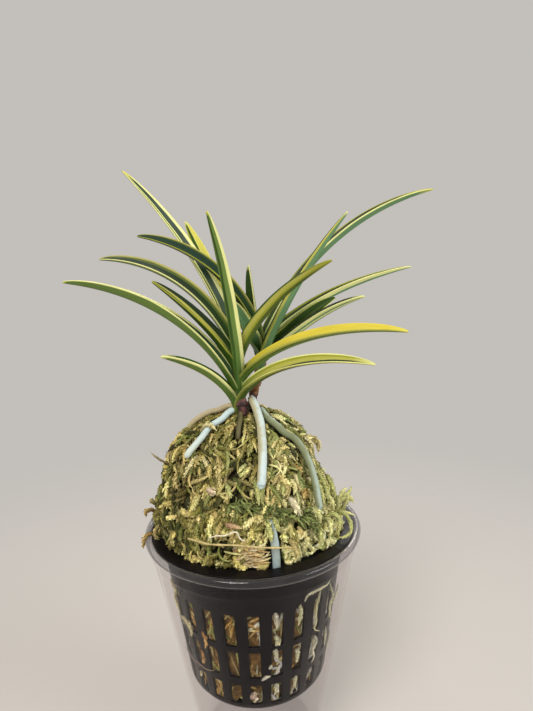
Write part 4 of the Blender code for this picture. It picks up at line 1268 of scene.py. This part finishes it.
def cup_piece():
    """The clear cup, turned from its profile, with a thicker look at its rim."""
    columns = 144
    first, *profile, end = CUP_PROFILE
    rings = [polar(round_angles(columns), radius, height) for radius, height in profile]
    points = np.vstack([(0, *first), *rings, (0, *end)])
    faces = ring_faces(len(profile), columns, start=1)
    last = len(points) - 1
    for c in range(columns):
        d = (c + 1) % columns
        faces += [(0, 1 + d, 1 + c), (last, last - columns + c, last - columns + d)]
    wall = cup_material("clear_wall", 0.14, 0.95, 0.0, 0.012, 0.004, 0.5, 5.0)
    obj = new_piece("clear_cup_moulded", points, faces, wall)
    obj.data.materials.append(cup_material("clear_rim", 0.12, 0.62, 0.05, 0.12, 0.03, 1.0, 3.5))
    for face in obj.data.polygons:
        if face.center.z > CUP_RIM_FROM * MM:
            face.material_index = 1
    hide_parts("clear_cup")


def cup_material(name, roughness, clarity, haze_low, haze_high, face_on, edge_on, fall):
    """Thin clear plastic: light passes straight, with gloss towards the edges and a faint smoky haze."""
    m = Nodes(name)
    scuff = m.noise(160.0, 4.0, 0.6)
    through = m.add("BsdfTransparent", {"Color": (clarity, clarity * 0.988, clarity * 0.99)}).outputs[0]
    gloss = m.add("BsdfGlossy", {"Color": (1.0, 0.98, 0.97), "Roughness": roughness}).outputs[0]
    haze = m.add("BsdfDiffuse", {"Color": "8A878A"}).outputs[0]
    facing = m.add("LayerWeight", {"Blend": 0.5}).outputs["Facing"]
    edge = m.between(m.math("POWER", facing, fall), 0.0, 1.0, face_on, edge_on)
    hazy = m.blend(m.between(scuff, 0.4, 0.8, haze_low, haze_high), through, haze)
    return m.surface(m.blend(edge, hazy, gloss))


# The room

FLOOR_HALF = 3.0
FADE = (0.1, 0.42)  # distances from the middle between which the floor fades out, in m


def floor():
    """A plain pale floor that fades out around the object."""
    corners = [(x * FLOOR_HALF, y * FLOOR_HALF, 0) for x, y in ((-1, -1), (1, -1), (1, 1), (-1, 1))]
    mesh = bpy.data.meshes.new("floor")
    mesh.from_pydata(corners, [], [(0, 1, 2, 3)])
    m = Nodes("floor")
    far = m.add("VectorMath", {0: m.place()}, operation="LENGTH").outputs["Value"]
    pale = m.add("BsdfDiffuse", {"Color": "C2BDB7"}).outputs[0]
    clear = m.add("BsdfTransparent").outputs[0]
    mesh.materials.append(m.surface(m.blend(m.between(far, *FADE), pale, clear)))
    obj = placed("floor", mesh)
    obj.location.z = -0.2 * MM


def area_light(name, place, target, size, power, tone):
    """A soft round light that faces its target."""
    data = bpy.data.lights.new(name, "AREA")
    data.shape = "DISK"
    data.size = size
    data.energy = power
    data.color = tone
    obj = placed(name, data)
    obj.location = place
    obj.rotation_euler = (Vector(target) - Vector(place)).to_track_quat("-Z", "Y").to_euler()


def lights():
    """Even light from all round and three soft lamps."""
    world = bpy.data.worlds.new("room")
    bpy.context.scene.world = world
    world.use_nodes = True
    background = world.node_tree.nodes["Background"]
    background.inputs["Color"].default_value = (*colour("C3BFBA"), 1.0)
    background.inputs["Strength"].default_value = 1.0
    target = (0.0, 0.0, 0.14)
    area_light("window", (-0.35, -0.75, 0.95), target, 0.55, 9.0, (1.0, 0.98, 0.95))
    area_light("fill", (0.9, -0.35, 0.55), target, 0.6, 4.5, (0.96, 0.98, 1.0))
    area_light("behind", (0.15, 0.8, 0.8), target, 0.5, 4.0, (1.0, 0.99, 0.97))


PITCH, ROLL = math.radians(8.867), math.radians(-1.793)
EYE = (8.06, -212.31, 207.84)
FOCAL, FRAME_HEIGHT, SENSOR = 520.0, 711.0, 36.0


def camera():
    """The photograph's camera: above the rim, tilted a little down, and rolled slightly."""
    forward = Vector((0.0, math.cos(PITCH), -math.sin(PITCH)))
    right = Vector((1.0, 0.0, 0.0))
    up = right.cross(forward)
    across = right * math.cos(ROLL) + up * math.sin(ROLL)
    above = up * math.cos(ROLL) - right * math.sin(ROLL)
    data = bpy.data.cameras.new("camera")
    data.sensor_width = SENSOR
    data.lens = FOCAL * SENSOR / FRAME_HEIGHT
    data.clip_start = 0.01
    obj = placed("camera", data)
    turn = Matrix((across, above, -forward)).transposed().to_4x4()
    obj.matrix_world = Matrix.Translation(Vector(EYE) * MM) @ turn
    bpy.context.scene.camera = obj


def main():
    """Builds the room and every piece."""
    camera()
    lights()
    floor()
    for leaf in LEAVES:
        leaf_piece(leaf)
    for name in ROOTS:
        root_piece(name)
    for name in STEMS:
        stem_piece(name)
    moss_core()
    dome_strands()
    fingers()
    hairs()
    slot_strands()
    wisps()
    net_pot_piece()
    cup_piece()
    bpy.context.scene.view_settings.view_transform = "Standard"


main()
